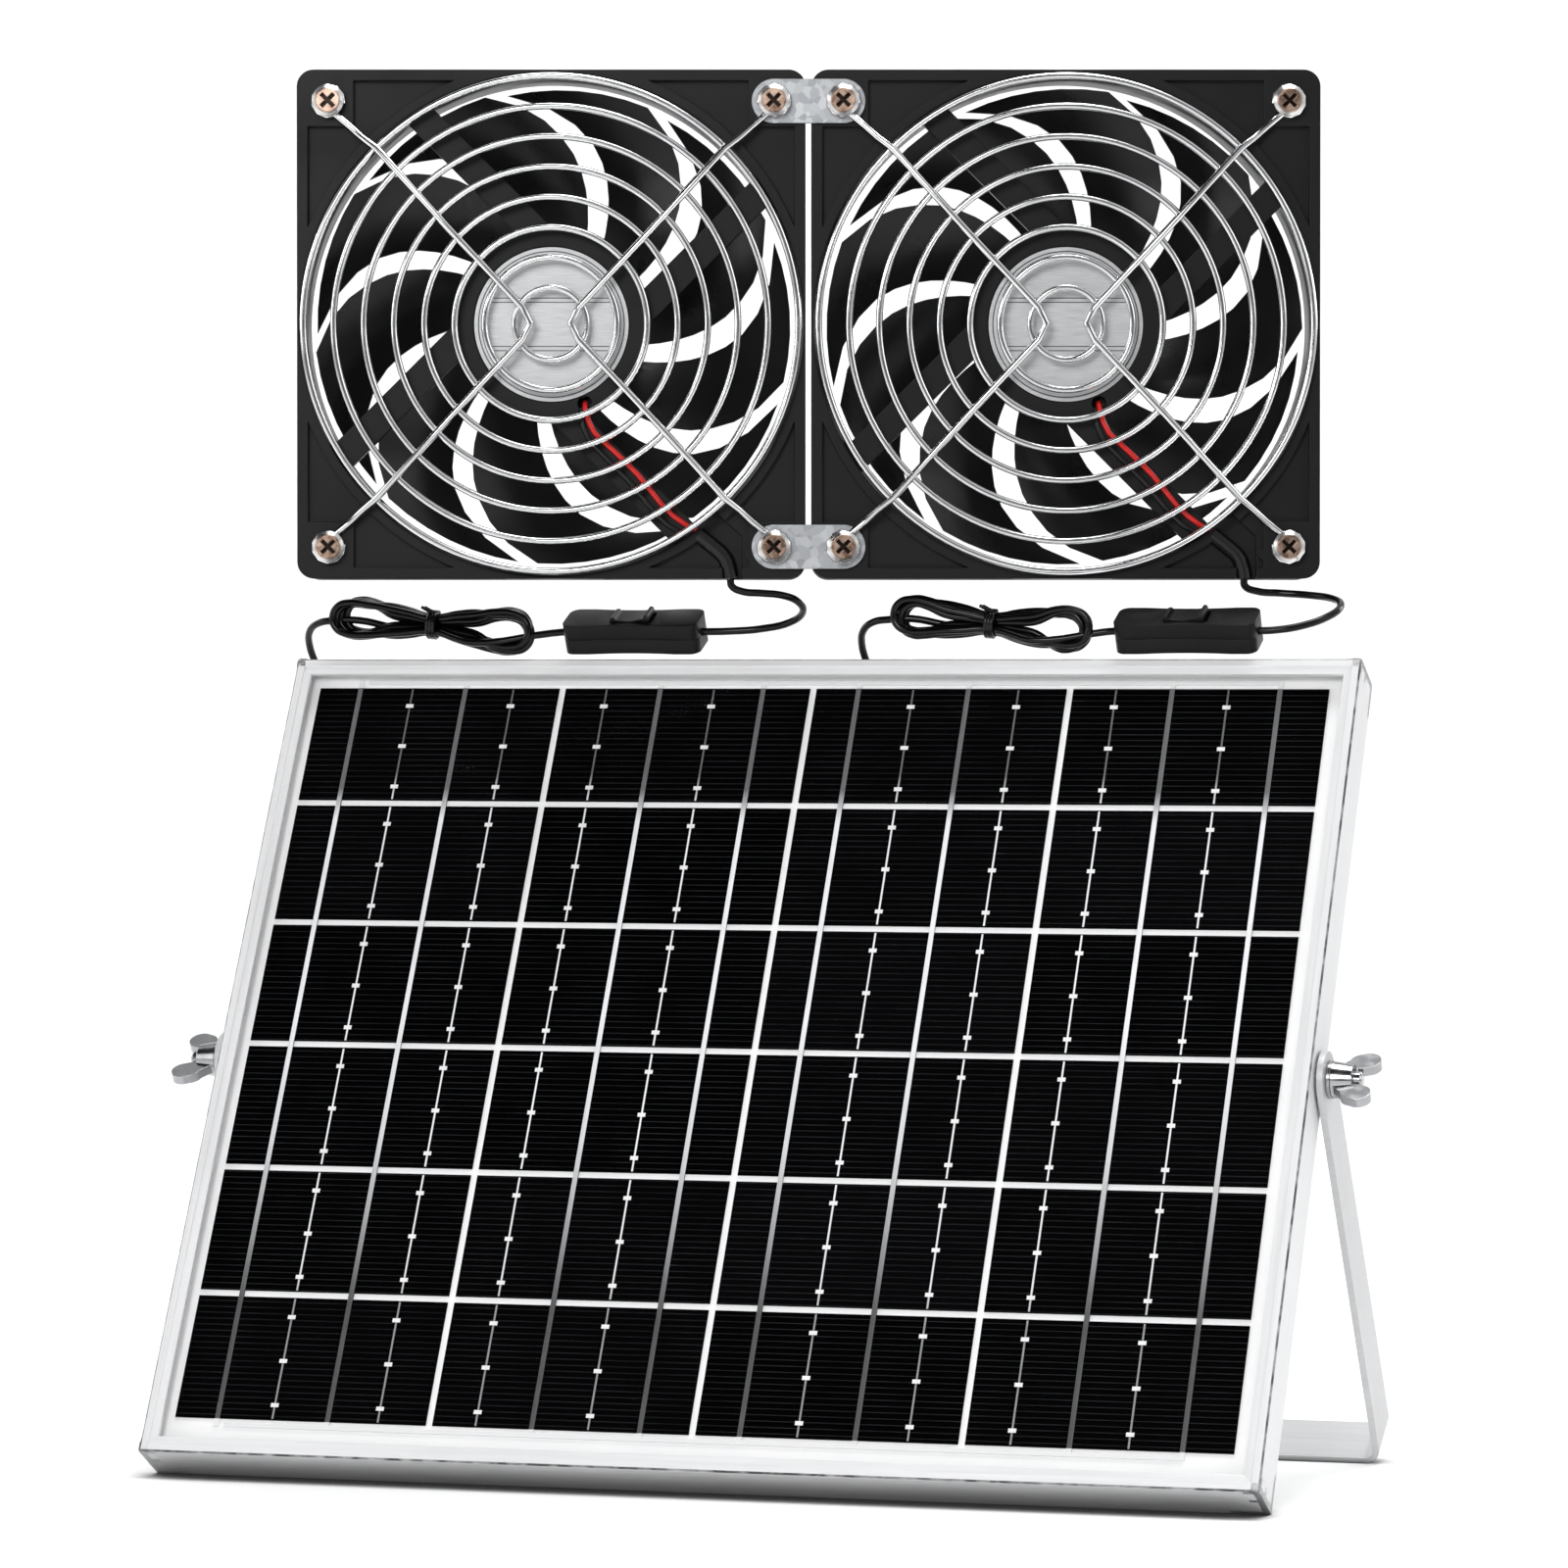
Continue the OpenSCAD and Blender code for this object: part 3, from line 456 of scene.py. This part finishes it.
def metal_rail(name, base, rough, long_axis, fine_a, fine_b):
    """Satin anodised rail with a dark line painted as the shade of the gap where its front lip
    meets the outer side.
    """
    m = Mat(name, base, rough, 0.12)
    grain, metal = brushed(m, base, 0.93, 1.05, long_axis, fine_a, fine_b)
    u, v, w = m.panel_mm(U), m.panel_mm(V), m.panel_mm(W)
    from_middle = m.math("ABSOLUTE", m.math("SUBTRACT", v, PANEL_H / 2))
    edge = m.math("MINIMUM", m.math("SUBTRACT", PANEL_W / 2, m.math("ABSOLUTE", u)),
                  m.math("SUBTRACT", PANEL_H / 2, from_middle))
    # painted shade: a broken near-black line along the lip's outer edge, for the shadow in the gap
    # there
    painted_gap_shade = m.math("MULTIPLY", m.math("LESS_THAN", edge, ARRIS_WIDTH),
                   m.math("LESS_THAN", w, ARRIS_WIDTH))
    painted_gap_shade = m.math("MULTIPLY", painted_gap_shade, m.span(m.noise(260, 2), 0.35, 0.6, 0.55, 1.0))
    m.color(m.mixc(painted_gap_shade, metal, (0.05, 0.052, 0.055)))
    return finish_brushed(m, grain, rough, 0.0002)


def plastic(name, base, rough, grain, strength, bevel, spec=0.5, vary=0.25):
    m = Mat(name, base, rough, 0.0)
    m.set("Specular IOR Level", spec)
    m.color(m.ramp(m.noise(35, 4), [(0.3, scaled(base, 1 - vary)), (0.72, scaled(base, 1 + vary))]))
    m.rough(m.span(m.noise(60, 5), 0.3, 0.7, rough - 0.05, rough + 0.07))
    m.bump(m.noise(grain, 2, 0.5), strength, 0.00006, bevel)
    return m.m


def make_chrome():
    """Bright plated wire with painted reflections: a duller grey painted along its front line,
    painted white beside it and painted dark at its sides.
    The tone follows the wire's own normal."""
    m = Mat("chrome_wire", (0.90, 0.905, 0.915), 0.08, 1.0)
    facing_front = m.vector("DOT_PRODUCT", m.normal, (0, 1, 0)).outputs["Value"]
    turned = m.math("SUBTRACT", 1.0, m.math("ABSOLUTE", facing_front))
    uneven = m.span(m.noise(40, 4), 0.3, 0.7, -0.03, 0.03)
    # painted reflections: grey where the wire faces the front, white where it turns away, dark at
    # its sides
    m.color(m.ramp(m.math("ADD", turned, uneven),
                   [(0.0, (0.50, 0.505, 0.515)), (0.10, (0.58, 0.585, 0.595)),
                    (0.22, (0.99, 0.99, 0.99)), (0.68, (0.99, 0.99, 0.99)),
                    (0.90, (0.28, 0.285, 0.29))]))
    m.rough(m.span(m.noise(300, 4), 0.3, 0.7, 0.10, 0.18))
    m.bump(m.noise(700, 2), 0.03, 0.00003)
    return m.m


def make_zinc():
    """Spangled zinc: flat cells whose edges are bent a little by noise."""
    m = Mat("zinc_spangle", (0.6, 0.61, 0.62), 0.4, 0.9)
    bend = m.n("TexNoise")
    bend.inputs["Scale"].default_value = 260
    m.put(m.co, bend.inputs["Vector"])
    bent = m.n("Mix", data_type="VECTOR")
    bent.inputs[0].default_value = 0.0012
    m.put(m.co, bent.inputs[4])
    m.put(bend.outputs["Color"], bent.inputs[5])
    cells = m.n("TexVoronoi")
    cells.inputs["Scale"].default_value = 520
    m.put(bent.outputs[1], cells.inputs["Vector"])
    g = m.n("SeparateColor")
    m.put(cells.outputs["Color"], g.inputs[0])
    m.color(m.ramp(g.outputs[0], [(0.0, (0.27, 0.28, 0.295)), (0.5, (0.34, 0.35, 0.365)),
                                  (1.0, (0.45, 0.46, 0.475))]))
    m.rough(m.span(g.outputs[1], 0, 1, 0.36, 0.5))
    m.bump(m.noise(500, 4), 0.12, 0.00008, 0.0004)
    return m.m


def make_screw():
    """Passivated pan heads: warm in the middle, bright at the rim, with a near-black cross painted
    as the shade in its recess.
    The eight screws lie mirrored about the middle between the fans and about each fan's own
    middle, so folded coordinates put every head on one origin."""
    m = Mat("screw_bronze", (0.62, 0.50, 0.42), 0.24, 1.0)
    half_fan_pitch = (FAN_X[1] - FAN_X[0]) / 2
    xyz = m.n("SeparateXYZ")
    m.put(m.vector("SUBTRACT", m.co, at_fan(0, half_fan_pitch, 0, 0)).outputs[0], xyz.inputs[0])

    def folded(out, *steps):
        out = m.math("MULTIPLY", out, 1000.0)
        for step in steps:
            out = m.math("SUBTRACT", m.math("ABSOLUTE", out), step)
        return out

    x = folded(xyz.outputs[0], half_fan_pitch, HALF_HOLE_PITCH)
    z = folded(xyz.outputs[2], HALF_HOLE_PITCH)
    r = m.math("SQRT", m.math("ADD", m.math("MULTIPLY", x, x), m.math("MULTIPLY", z, z)))
    # the cross recess is painted shade: near-black where the recess would lie in shadow
    arm_a = m.math("LESS_THAN", m.math("ABSOLUTE", m.math("SUBTRACT", x, z)), CROSS_HALF_WIDTH)
    arm_b = m.math("LESS_THAN", m.math("ABSOLUTE", m.math("ADD", x, z)), CROSS_HALF_WIDTH)
    cross = m.math("MULTIPLY", m.math("MAXIMUM", arm_a, arm_b), m.math("LESS_THAN", r, CROSS_REACH))
    warm = m.ramp(m.noise(300, 3), [(0.35, (0.22, 0.14, 0.10)), (0.65, (0.46, 0.33, 0.26))])
    head = m.mixc(m.span(r, 2.75, 3.15), warm, (0.72, 0.71, 0.70))
    m.color(m.mixc(cross, head, (0.02, 0.015, 0.013)))
    m.rough(m.span(m.noise(600, 3), 0.3, 0.7, 0.22, 0.36))
    m.bump(m.noise(900, 2), 0.05, 0.00004, 0.0002)
    return m.m


def make_backsheet():
    m = Mat("backsheet_white", (0.86, 0.865, 0.87), 0.55, 0.0)
    m.color(m.ramp(m.noise(60, 4), [(0.3, (0.93, 0.935, 0.94)), (0.7, (0.97, 0.97, 0.97))]))
    m.bump(m.noise(1300, 3), 0.1, 0.00005)
    return m.m


def make_cells():
    """Near-black cells, each with its own tone and fine finger lines of uneven strength."""
    m = Mat("cells_black", (0.002, 0.002, 0.003), 0.3, 0.0)
    m.set("Specular IOR Level", 0.05)
    v = m.math("SUBTRACT", m.panel_mm(V), CELL_DV)
    u = m.math("SUBTRACT", m.panel_mm(U), CELL_DU)
    finger = m.math("LESS_THAN", m.math("FRACT", m.math("DIVIDE", v, FINGER_PITCH)), FINGER_SHARE)
    finger = m.math("MULTIPLY", finger, m.span(m.noise(70, 3), 0.3, 0.65, 0.4, 1.0))
    cell = m.n("CombineXYZ")
    for i, (at, start, pitch) in enumerate(((u, -PANEL_W / 2 + CELL_EDGE_U, CELL_W + CELL_GAP),
                                            (v, CELL_EDGE_V, CELL_H + CELL_GAP))):
        steps = m.math("DIVIDE", m.math("SUBTRACT", at, start), pitch)
        m.put(m.math("FLOOR", steps), cell.inputs[i])
    chance = m.n("TexWhiteNoise", noise_dimensions="3D")
    m.put(cell.outputs[0], chance.inputs["Vector"])
    base = m.ramp(chance.outputs["Value"],
                  [(0.0, (0.0004, 0.0004, 0.0005)), (1.0, (0.0009, 0.0009, 0.0012))])
    lined = m.mixc(finger, base, (0.016, 0.017, 0.019))
    # beyond the first and the last row white tape covers the end busbars
    from_middle = m.math("ABSOLUTE", m.math("SUBTRACT", v, PANEL_H / 2))
    taped = m.math("GREATER_THAN", from_middle, PANEL_H / 2 - CELL_EDGE_V + 0.03)
    m.color(m.mixc(taped, lined, (0.80, 0.805, 0.81)))
    m.rough(m.span(chance.outputs["Value"], 0, 1, 0.24, 0.32))
    return m.m


def make_ribbon(name, stops, rough):
    """Tinned copper, whose tone changes up the panel's height by the given stops."""
    m = Mat(name, stops[0][1], rough, 0.1)
    g = m.noise(1500, 2, 0.5, m.stretched(U, W, V, 0.05))
    tone = m.ramp(m.math("DIVIDE", m.panel_mm(V), PANEL_H), stops)
    m.color(m.mixc(m.math("MULTIPLY", g, 0.16), tone, (0.05, 0.05, 0.055)))
    m.rough(m.span(m.noise(200, 3), 0.3, 0.7, rough - 0.05, rough + 0.1))
    m.bump(g, 0.1, 0.00004)
    return m.m


def make_glass():
    """A clear pane with a weak gloss on the side that faces out; the inner side has none."""
    m = Mat("cover_glass")
    clear = m.n("BsdfTransparent")
    m.put(m.ramp(m.noise(30, 2), [(0.0, (0.985, 0.985, 0.985)), (1.0, (0.995, 0.995, 0.995))]),
          clear.inputs[0])
    gloss = m.n("BsdfGlossy")
    m.put(m.span(m.noise(500, 3), 0.3, 0.7, 0.08, 0.16), gloss.inputs["Roughness"])
    bp = m.n("Bump")
    bp.inputs["Strength"].default_value = 0.008
    bp.inputs["Distance"].default_value = 0.00003
    m.put(m.noise(1600, 2), bp.inputs["Height"])
    m.put(bp.outputs[0], gloss.inputs["Normal"])
    fresnel = m.n("Fresnel")
    fresnel.inputs["IOR"].default_value = 1.28
    inner = m.n("NewGeometry").outputs["Backfacing"]
    share = m.math("SUBTRACT", GLASS_GLOSS, m.math("MULTIPLY", inner, GLASS_GLOSS))
    mix = m.n("MixShader")
    m.put(m.math("MULTIPLY", fresnel.outputs[0], share), mix.inputs[0])
    m.put(clear.outputs[0], mix.inputs[1])
    m.put(gloss.outputs[0], mix.inputs[2])
    m.put(mix.outputs[0], m.nt.nodes["Material Output"].inputs["Surface"])
    m.nt.nodes.remove(m.b)
    return m.m


def make_label(k):
    """Brushed silver label of fan k with one ring and four rules, and no lettering."""
    m = Mat("hub_label_silver_%d" % k, (0.72, 0.73, 0.74), 0.34, 0.35)
    from_hub = m.vector("SUBTRACT", m.co, at_fan(k, 0, 0, 0)).outputs[0]
    flat = m.vector("MULTIPLY", from_hub, (1000, 0, 1000)).outputs[0]
    length = m.n("VectorMath", operation="LENGTH")
    m.put(flat, length.inputs[0])
    r = length.outputs["Value"]
    xyz = m.n("SeparateXYZ")
    m.put(flat, xyz.inputs[0])
    x, z = xyz.outputs[0], xyz.outputs[2]

    def near(val, at, half):
        return m.math("LESS_THAN", m.math("ABSOLUTE", m.math("SUBTRACT", val, at)), half)

    rules = near(z, LABEL_RULES[0], 0.11)
    for h in LABEL_RULES[1:]:
        rules = m.math("MAXIMUM", rules, near(z, h, 0.11))
    rules = m.math("MULTIPLY", rules, m.math("LESS_THAN", r, LABEL_RULE_REACH))
    ink = m.math("MAXIMUM", near(r, LABEL_RING_R, 0.14), rules)
    v = m.n("CombineXYZ")
    m.put(m.math("MULTIPLY", x, 0.04), v.inputs[0])
    m.put(z, v.inputs[2])
    grain = m.noise(4.5, 3, 0.6, v.outputs[0])
    base = m.ramp(grain, [(0.3, (0.44, 0.45, 0.46)), (0.7, (0.60, 0.605, 0.61))])
    m.color(m.mixc(ink, base, (0.05, 0.05, 0.055)))
    m.rough(m.span(grain, 0.3, 0.7, 0.28, 0.42))
    m.bump(grain, 0.05, 0.00004)
    return m.m


def make_board():
    m = Mat("board_green", (0.02, 0.12, 0.06), 0.4)
    tracks = m.n("TexVoronoi", feature="DISTANCE_TO_EDGE")
    tracks.inputs["Scale"].default_value = 400
    m.put(m.co, tracks.inputs["Vector"])
    edge = tracks.outputs["Distance"]
    m.color(m.ramp(edge, [(0.0, (0.05, 0.25, 0.12)), (0.12, (0.015, 0.10, 0.05))]))
    m.bump(edge, 0.2, 0.0001)
    return m.m


def make_copper():
    m = Mat("copper_coils", (0.6, 0.25, 0.12), 0.3, 1.0)
    windings = m.n("TexWave", bands_direction="Y")
    windings.inputs["Scale"].default_value = 900
    m.put(m.co, windings.inputs["Vector"])
    wave = windings.outputs["Fac"]
    m.color(m.ramp(wave, [(0.2, (0.35, 0.12, 0.05)), (0.8, (0.75, 0.34, 0.18))]))
    m.bump(wave, 0.3, 0.0001)
    return m.m


def make_steel(name, base, rough):
    m = Mat(name, base, rough, 1.0)
    m.color(m.ramp(m.noise(120, 4), [(0.3, scaled(base, 0.85)), (0.7, scaled(base, 1.1))]))
    m.rough(m.span(m.noise(400, 3), 0.3, 0.7, rough - 0.08, rough + 0.1))
    m.bump(m.noise(800, 2), 0.08, 0.00004, 0.00025)
    return m.m


alu_u = metal_rail("anodised_along", (0.77, 0.773, 0.78), 0.42, U, V, W)
alu_v = metal_rail("anodised_up", (0.74, 0.743, 0.75), 0.42, V, U, W)
strap_mat = make_strap()
fan_black = plastic("fan_black", (0.0035, 0.0035, 0.004), 0.42, 1500, 0.10, 0.0004, spec=0.2)
impeller_mat = plastic("impeller_black", (0.005, 0.005, 0.0055), 0.30, 900, 0.05, 0.0003, spec=0.4)
box_plastic = plastic("junction_black", (0.009, 0.009, 0.0095), 0.46, 900, 0.22, 0.0005, spec=0.35)
switch_mat = plastic("switch_black", (0.002, 0.002, 0.0024), 0.36, 1300, 0.2, 0.0004, spec=0.2)
rocker_mat = plastic("rocker_black", (0.003, 0.003, 0.0034), 0.30, 1300, 0.12, 0.0003, spec=0.3)
cord_mat = plastic("cord_jacket", (0.0015, 0.0015, 0.0018), 0.17, 700, 0.05, None, spec=0.26)
tie_mat = plastic("tie_black", (0.002, 0.002, 0.002), 0.24, 900, 0.08, None, spec=0.3)
red_mat = plastic("red_wire", (0.62, 0.012, 0.010), 0.24, 500, 0.05, None, vary=0.08)
black_wire = plastic("black_wire", (0.004, 0.004, 0.0045), 0.24, 500, 0.05, None, spec=0.4)
sleeve_mat = plastic("sleeve_black", (0.004, 0.004, 0.0045), 0.3, 500, 0.1, None, spec=0.35)
chrome = make_chrome()
zinc = make_zinc()
screw = make_screw()
backsheet_mat = make_backsheet()
cells_mat = make_cells()
# greys by height up the panel: dull or dark near its two ends, bright in the middle rows
RIBBON_GREYS = [(0.19, 0.09), (0.23, 0.17), (0.40, 0.75), (0.55, 0.95), (0.80, 0.95), (0.84, 0.16)]
BUSBAR_GREYS = [(0.19, 0.30), (0.23, 0.80), (0.40, 0.92), (0.55, 0.92), (0.82, 0.92), (0.86, 0.14)]
ribbon_mat = make_ribbon("ribbon_wide", [(p, (g, g * 1.01, g * 1.03)) for p, g in RIBBON_GREYS],
                         0.35)
busbar_mat = make_ribbon("busbar_thin", [(p, (g, g, g * 1.01)) for p, g in BUSBAR_GREYS], 0.4)
dot_mat = make_ribbon("solder_dots", [(0.0, (0.95, 0.95, 0.95)), (1.0, (0.96, 0.96, 0.96))], 0.35)
glass_mat = make_glass()
board = make_board()
copper = make_copper()
steel = make_steel("steel_plain", (0.6, 0.6, 0.62), 0.3)
wing_chrome = make_steel("wing_chrome", (0.40, 0.405, 0.415), 0.17)
magnet_mat = make_steel("magnet_grey", (0.16, 0.16, 0.17), 0.5)


# ---------------------------------------------------------------- carried-over nodes
def dress(name, material, angle=32, round_edges=None):
    """Give a CAD node its material and smooth its shading up to edges sharper than angle."""
    o = NODES[name]
    me = o.data
    if not me.materials:
        me.materials.append(material)
    for s in o.material_slots:
        s.link = "DATA"
        s.material = material
    if me.attributes.get("custom_normal"):
        me.attributes.remove(me.attributes["custom_normal"])
    me.polygons.foreach_set("use_smooth", [True] * len(me.polygons))
    weld = o.modifiers.new("weld", "WELD")
    weld.merge_threshold = 0.000002
    if round_edges:
        b = o.modifiers.new("rounded", "BEVEL")
        b.width = round_edges
        b.segments = 3
        b.limit_method = "ANGLE"
        b.angle_limit = math.radians(48)
        b.use_clamp_overlap = True
    split = o.modifiers.new("edges", "EDGE_SPLIT")
    split.split_angle = math.radians(angle)


for material, names in (
        (alu_u, ("rail_top", "rail_bottom")),
        (alu_v, ("rail_left", "rail_right")),
        (steel, ("corner_keys",)),
        (cells_mat, ("solar_cells",)),
        (backsheet_mat, ("backsheet",)),
        (box_plastic, ("junction_box", "junction_lid", "cable_glands")),
        (wing_chrome, ("pivot_bolts", "washers", "wing_nut_left", "wing_nut_right")),
        (strap_mat, ("stand_bracket",)),
        (zinc, ("joint_plate_top", "joint_plate_bottom")),
        (screw, ("fan_screws",))):
    for name in names:
        dress(name, material)
for k, side in enumerate(SIDES):
    for name, material in (("fan_frame_", fan_black), ("impeller_", impeller_mat),
                           ("shaft_", steel), ("bearings_", steel), ("magnet_", magnet_mat),
                           ("stator_", copper), ("driver_board_", board),
                           ("hub_label_", make_label(k)), ("rocker_", rocker_mat)):
        dress(name + side, material)
    dress("finger_guard_" + side, chrome, 50)
    for name, material in (("lead_red_", red_mat), ("lead_black_", black_wire),
                           ("lead_sleeve_", sleeve_mat)):
        dress(name + side, material, 60)
    for name in ("switch_base_", "switch_cover_"):
        dress(name + side, switch_mat, 40, round_edges=0.0005)
    cords[side].data.materials.append(cord_mat)
    for piece in ties[side]:
        piece.data.materials.append(tie_mat)


# ---------------------------------------------------------------- glass and ribbons
def mesh_object(name, bm, material, body):
    me = bpy.data.meshes.new(name)
    bm.to_mesh(me)
    bm.free()
    me.materials.append(material)
    return place(bpy.data.objects.new(name, me), body)


def panel_block(bm, u0, u1, w0, w1, v0, v1, bevel):
    """A block in the panel's own directions, with its edges broken."""
    made = [bm.verts.new(on_panel(u, w, v)) for u in (u0, u1) for w in (w0, w1) for v in (v0, v1)]
    quads = [(0, 1, 3, 2), (4, 6, 7, 5), (0, 4, 5, 1), (2, 3, 7, 6), (0, 2, 6, 4), (1, 5, 7, 3)]
    faces = [bm.faces.new([made[i] for i in q]) for q in quads]
    bmesh.ops.recalc_face_normals(bm, faces=faces)
    edges = {e for f in faces for e in f.edges}
    bmesh.ops.bevel(bm, geom=list(edges), offset=bevel / 1000, segments=2, profile=0.6,
                    affect="EDGES")


def half_round(bm, u, v0, v1, width, w_back, w_front):
    """A soldered strip: a shallow crowned section drawn up the panel."""
    prof = [(-0.5, 0), (-0.42, 0.7), (-0.2, 1), (0.2, 1), (0.42, 0.7), (0.5, 0)]
    rows = [[bm.verts.new(on_panel(u + width * x, w_back + (w_front - w_back) * y, v))
             for x, y in prof] for v in (v0, v1)]
    for i in range(len(prof) - 1):
        bm.faces.new((rows[0][i], rows[0][i + 1], rows[1][i + 1], rows[1][i]))
    bm.faces.new(rows[0][::-1])
    bm.faces.new(rows[1])
    bm.faces.new((rows[0][-1], rows[0][0], rows[1][0], rows[1][-1]))


GLASS_INSET = 1.8
GLASS_FRONT, GLASS_BACK = 1.55, 3.9
STRIP_BACK = 4.09                     # just in front of the cells
RIBBON_W, RIBBON_FRONT = 1.2, 3.97
BUSBAR_W, BUSBAR_FRONT = 0.46, 4.02
BUSBAR_SHORT = 0.3                    # a busbar ends this much inside its cell
DOT_HALF_W, DOT_HALF_H, DOT_FRONT = 0.95, 0.5, 3.96
LINES = (0.17, 0.39, 0.61, 0.81)      # shares of a cell's width
DOTS = (0.12, 0.48, 0.84)             # shares of a cell's height

bm = bmesh.new()
panel_block(bm, -PANEL_W / 2 + GLASS_INSET, PANEL_W / 2 - GLASS_INSET, GLASS_FRONT, GLASS_BACK,
            GLASS_INSET, PANEL_H - GLASS_INSET, 0.3)
glass = mesh_object("glass_pane", bm, glass_mat, "panel")
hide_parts("glass_cover")

wide, thin, dots = bmesh.new(), bmesh.new(), bmesh.new()
for i in range(COLUMNS):
    u_left = -PANEL_W / 2 + CELL_EDGE_U + CELL_DU + i * (CELL_W + CELL_GAP)
    for j, share in enumerate(LINES):
        u = u_left + CELL_W * share
        is_wide = (j + i) % 2 == 0
        for r in range(ROWS):
            v0 = CELL_EDGE_V + CELL_DV + r * (CELL_H + CELL_GAP)
            v1 = v0 + CELL_H
            if is_wide:
                reach = v1 + CELL_GAP if r < ROWS - 1 else v1
                half_round(wide, u, v0, reach, RIBBON_W, STRIP_BACK, RIBBON_FRONT)
                continue
            half_round(thin, u, v0 + BUSBAR_SHORT, v1 - BUSBAR_SHORT, BUSBAR_W, STRIP_BACK,
                       BUSBAR_FRONT)
            for d in DOTS:
                mid = v0 + CELL_H * d
                panel_block(dots, u - DOT_HALF_W, u + DOT_HALF_W, DOT_FRONT, STRIP_BACK,
                            mid - DOT_HALF_H, mid + DOT_HALF_H, 0.05)
for strips, name, material in ((wide, "ribbons_wide", ribbon_mat),
                               (thin, "busbars_fine", busbar_mat),
                               (dots, "solder_dots", dot_mat)):
    bmesh.ops.recalc_face_normals(strips, faces=strips.faces)
    mesh_object(name, strips, material, "panel")

# ---------------------------------------------------------------- stage
# A pale paper that runs level and sweeps up into a wall behind the part. Metres.
FLOOR_HALF_WIDTH = 4.0
FLOOR_FRONT, SWEEP_START, SWEEP_R, WALL_TOP = -4.0, 1.6, 0.9, 4.0
SWEEP_STEPS = 12
SHADOW_REACH = 0.024
floor_me = bpy.data.meshes.new("floor")
bm = bmesh.new()
prof = [(FLOOR_FRONT, 0.0), (SWEEP_START, 0.0)]
for i in range(1, SWEEP_STEPS + 1):
    a = math.radians(90 * i / SWEEP_STEPS)
    prof.append((SWEEP_START + SWEEP_R * math.sin(a), SWEEP_R - SWEEP_R * math.cos(a)))
prof.append((SWEEP_START + SWEEP_R, WALL_TOP))
rows = [[bm.verts.new((x, y, z)) for y, z in prof] for x in (-FLOOR_HALF_WIDTH, FLOOR_HALF_WIDTH)]
for i in range(len(prof) - 1):
    f = bm.faces.new((rows[0][i], rows[1][i], rows[1][i + 1], rows[0][i + 1]))
    f.smooth = True
bm.to_mesh(floor_me)
bm.free()
floor = bpy.data.objects.new("floor", floor_me)
scene.collection.objects.link(floor)
fm = Mat("floor_pale", (0.90, 0.90, 0.90), 0.7, 0.0)
pale = fm.ramp(fm.noise(2.0, 2), [(0.3, (0.895, 0.895, 0.897)), (0.7, (0.91, 0.91, 0.91))])
# painted contact shadow: the paper's colour goes dark in the last few millimetres under the frame
# and the stand
near_floor = fm.n("AmbientOcclusion", samples=8)
near_floor.inputs["Distance"].default_value = SHADOW_REACH
shadow = fm.span(near_floor.outputs["AO"], 0.25, 0.74, 0.96, 0.0)
fm.color(fm.mixc(shadow, pale, (0.012, 0.012, 0.013)))
floor_me.materials.append(fm.m)

# Soft white surroundings, with dark flags where the panel's glass would mirror them, in
# front and below. The camera itself sees an even pale ground.
FLAG_LEVEL = 0.60
GROUND_LEVEL = 0.9
world = bpy.data.worlds.new("studio")
scene.world = world
world.use_nodes = True
wt = world.node_tree
bg = wt.nodes["Background"]
directions = wt.nodes.new("ShaderNodeTexCoord").outputs["Generated"]


def world_node(kind, **kw):
    x = wt.nodes.new("ShaderNode" + kind)
    for k, v in kw.items():
        setattr(x, k, v)
    return x


def facing(direction, near, far, dark):
    """dark within near degrees of a direction, rising to 1 at far degrees."""
    d = world_node("VectorMath", operation="DOT_PRODUCT")
    wt.links.new(directions, d.inputs[0])
    d.inputs[1].default_value = Vector(direction).normalized()
    r = world_node("MapRange", interpolation_type="SMOOTHSTEP")
    limits = (math.cos(math.radians(far)), math.cos(math.radians(near)), 1.0, dark)
    for i, v in enumerate(limits):
        r.inputs[i + 1].default_value = v
    wt.links.new(d.outputs["Value"], r.inputs[0])
    return r.outputs[0]


def product(a, b):
    x = world_node("Math", operation="MULTIPLY")
    wt.links.new(a, x.inputs[0])
    if isinstance(b, float):
        x.inputs[1].default_value = b
    else:
        wt.links.new(b, x.inputs[1])
    return x.outputs[0]


VIEW = Vector((0, 1, 0))              # straight at the part from the front
MIRROR = VIEW - 2 * VIEW.dot(W) * W   # where the glass sends that view
flags = product(facing(MIRROR, 26, 44, 0.02), facing((0, -1, -0.05), 10, 34, 0.12))
flags = product(product(flags, facing((0, 0, -1), 40, 90, 0.45)), FLAG_LEVEL)
level = world_node("MapRange")
wt.links.new(world_node("LightPath").outputs["Is Camera Ray"], level.inputs[0])
wt.links.new(flags, level.inputs[3])
level.inputs[4].default_value = GROUND_LEVEL
wt.links.new(level.outputs[0], bg.inputs["Strength"])
bg.inputs["Color"].default_value = (0.985, 0.99, 1.0, 1)
scene.view_settings.view_transform = "Standard"


def area(name, loc, target, size, power):
    d = bpy.data.lights.new(name, "AREA")
    d.shape = "RECTANGLE"
    d.size = d.size_y = size
    d.energy = power
    o = bpy.data.objects.new(name, d)
    scene.collection.objects.link(o)
    o.location = loc
    o.rotation_euler = (Vector(target) - Vector(loc)).to_track_quat("-Z", "Y").to_euler()


PART_MIDDLE = (0, 0, 0.17)
WALL_MIDDLE = (0, 1.7, 0.35)
area("key", (-0.45, -1.75, 0.85), PART_MIDDLE, 0.7, 15.5)
area("side", (1.6, -0.6, 0.8), PART_MIDDLE, 0.8, 3)
area("left", (-1.6, -0.5, 0.6), PART_MIDDLE, 0.8, 4)
area("top", (0.15, 0.12, 1.5), (0, -0.02, 0.1), 0.7, 15)
area("back_left", (-1.2, 1.0, 0.8), WALL_MIDDLE, 1.0, 15)
area("back_right", (1.2, 1.0, 0.8), WALL_MIDDLE, 1.0, 15)
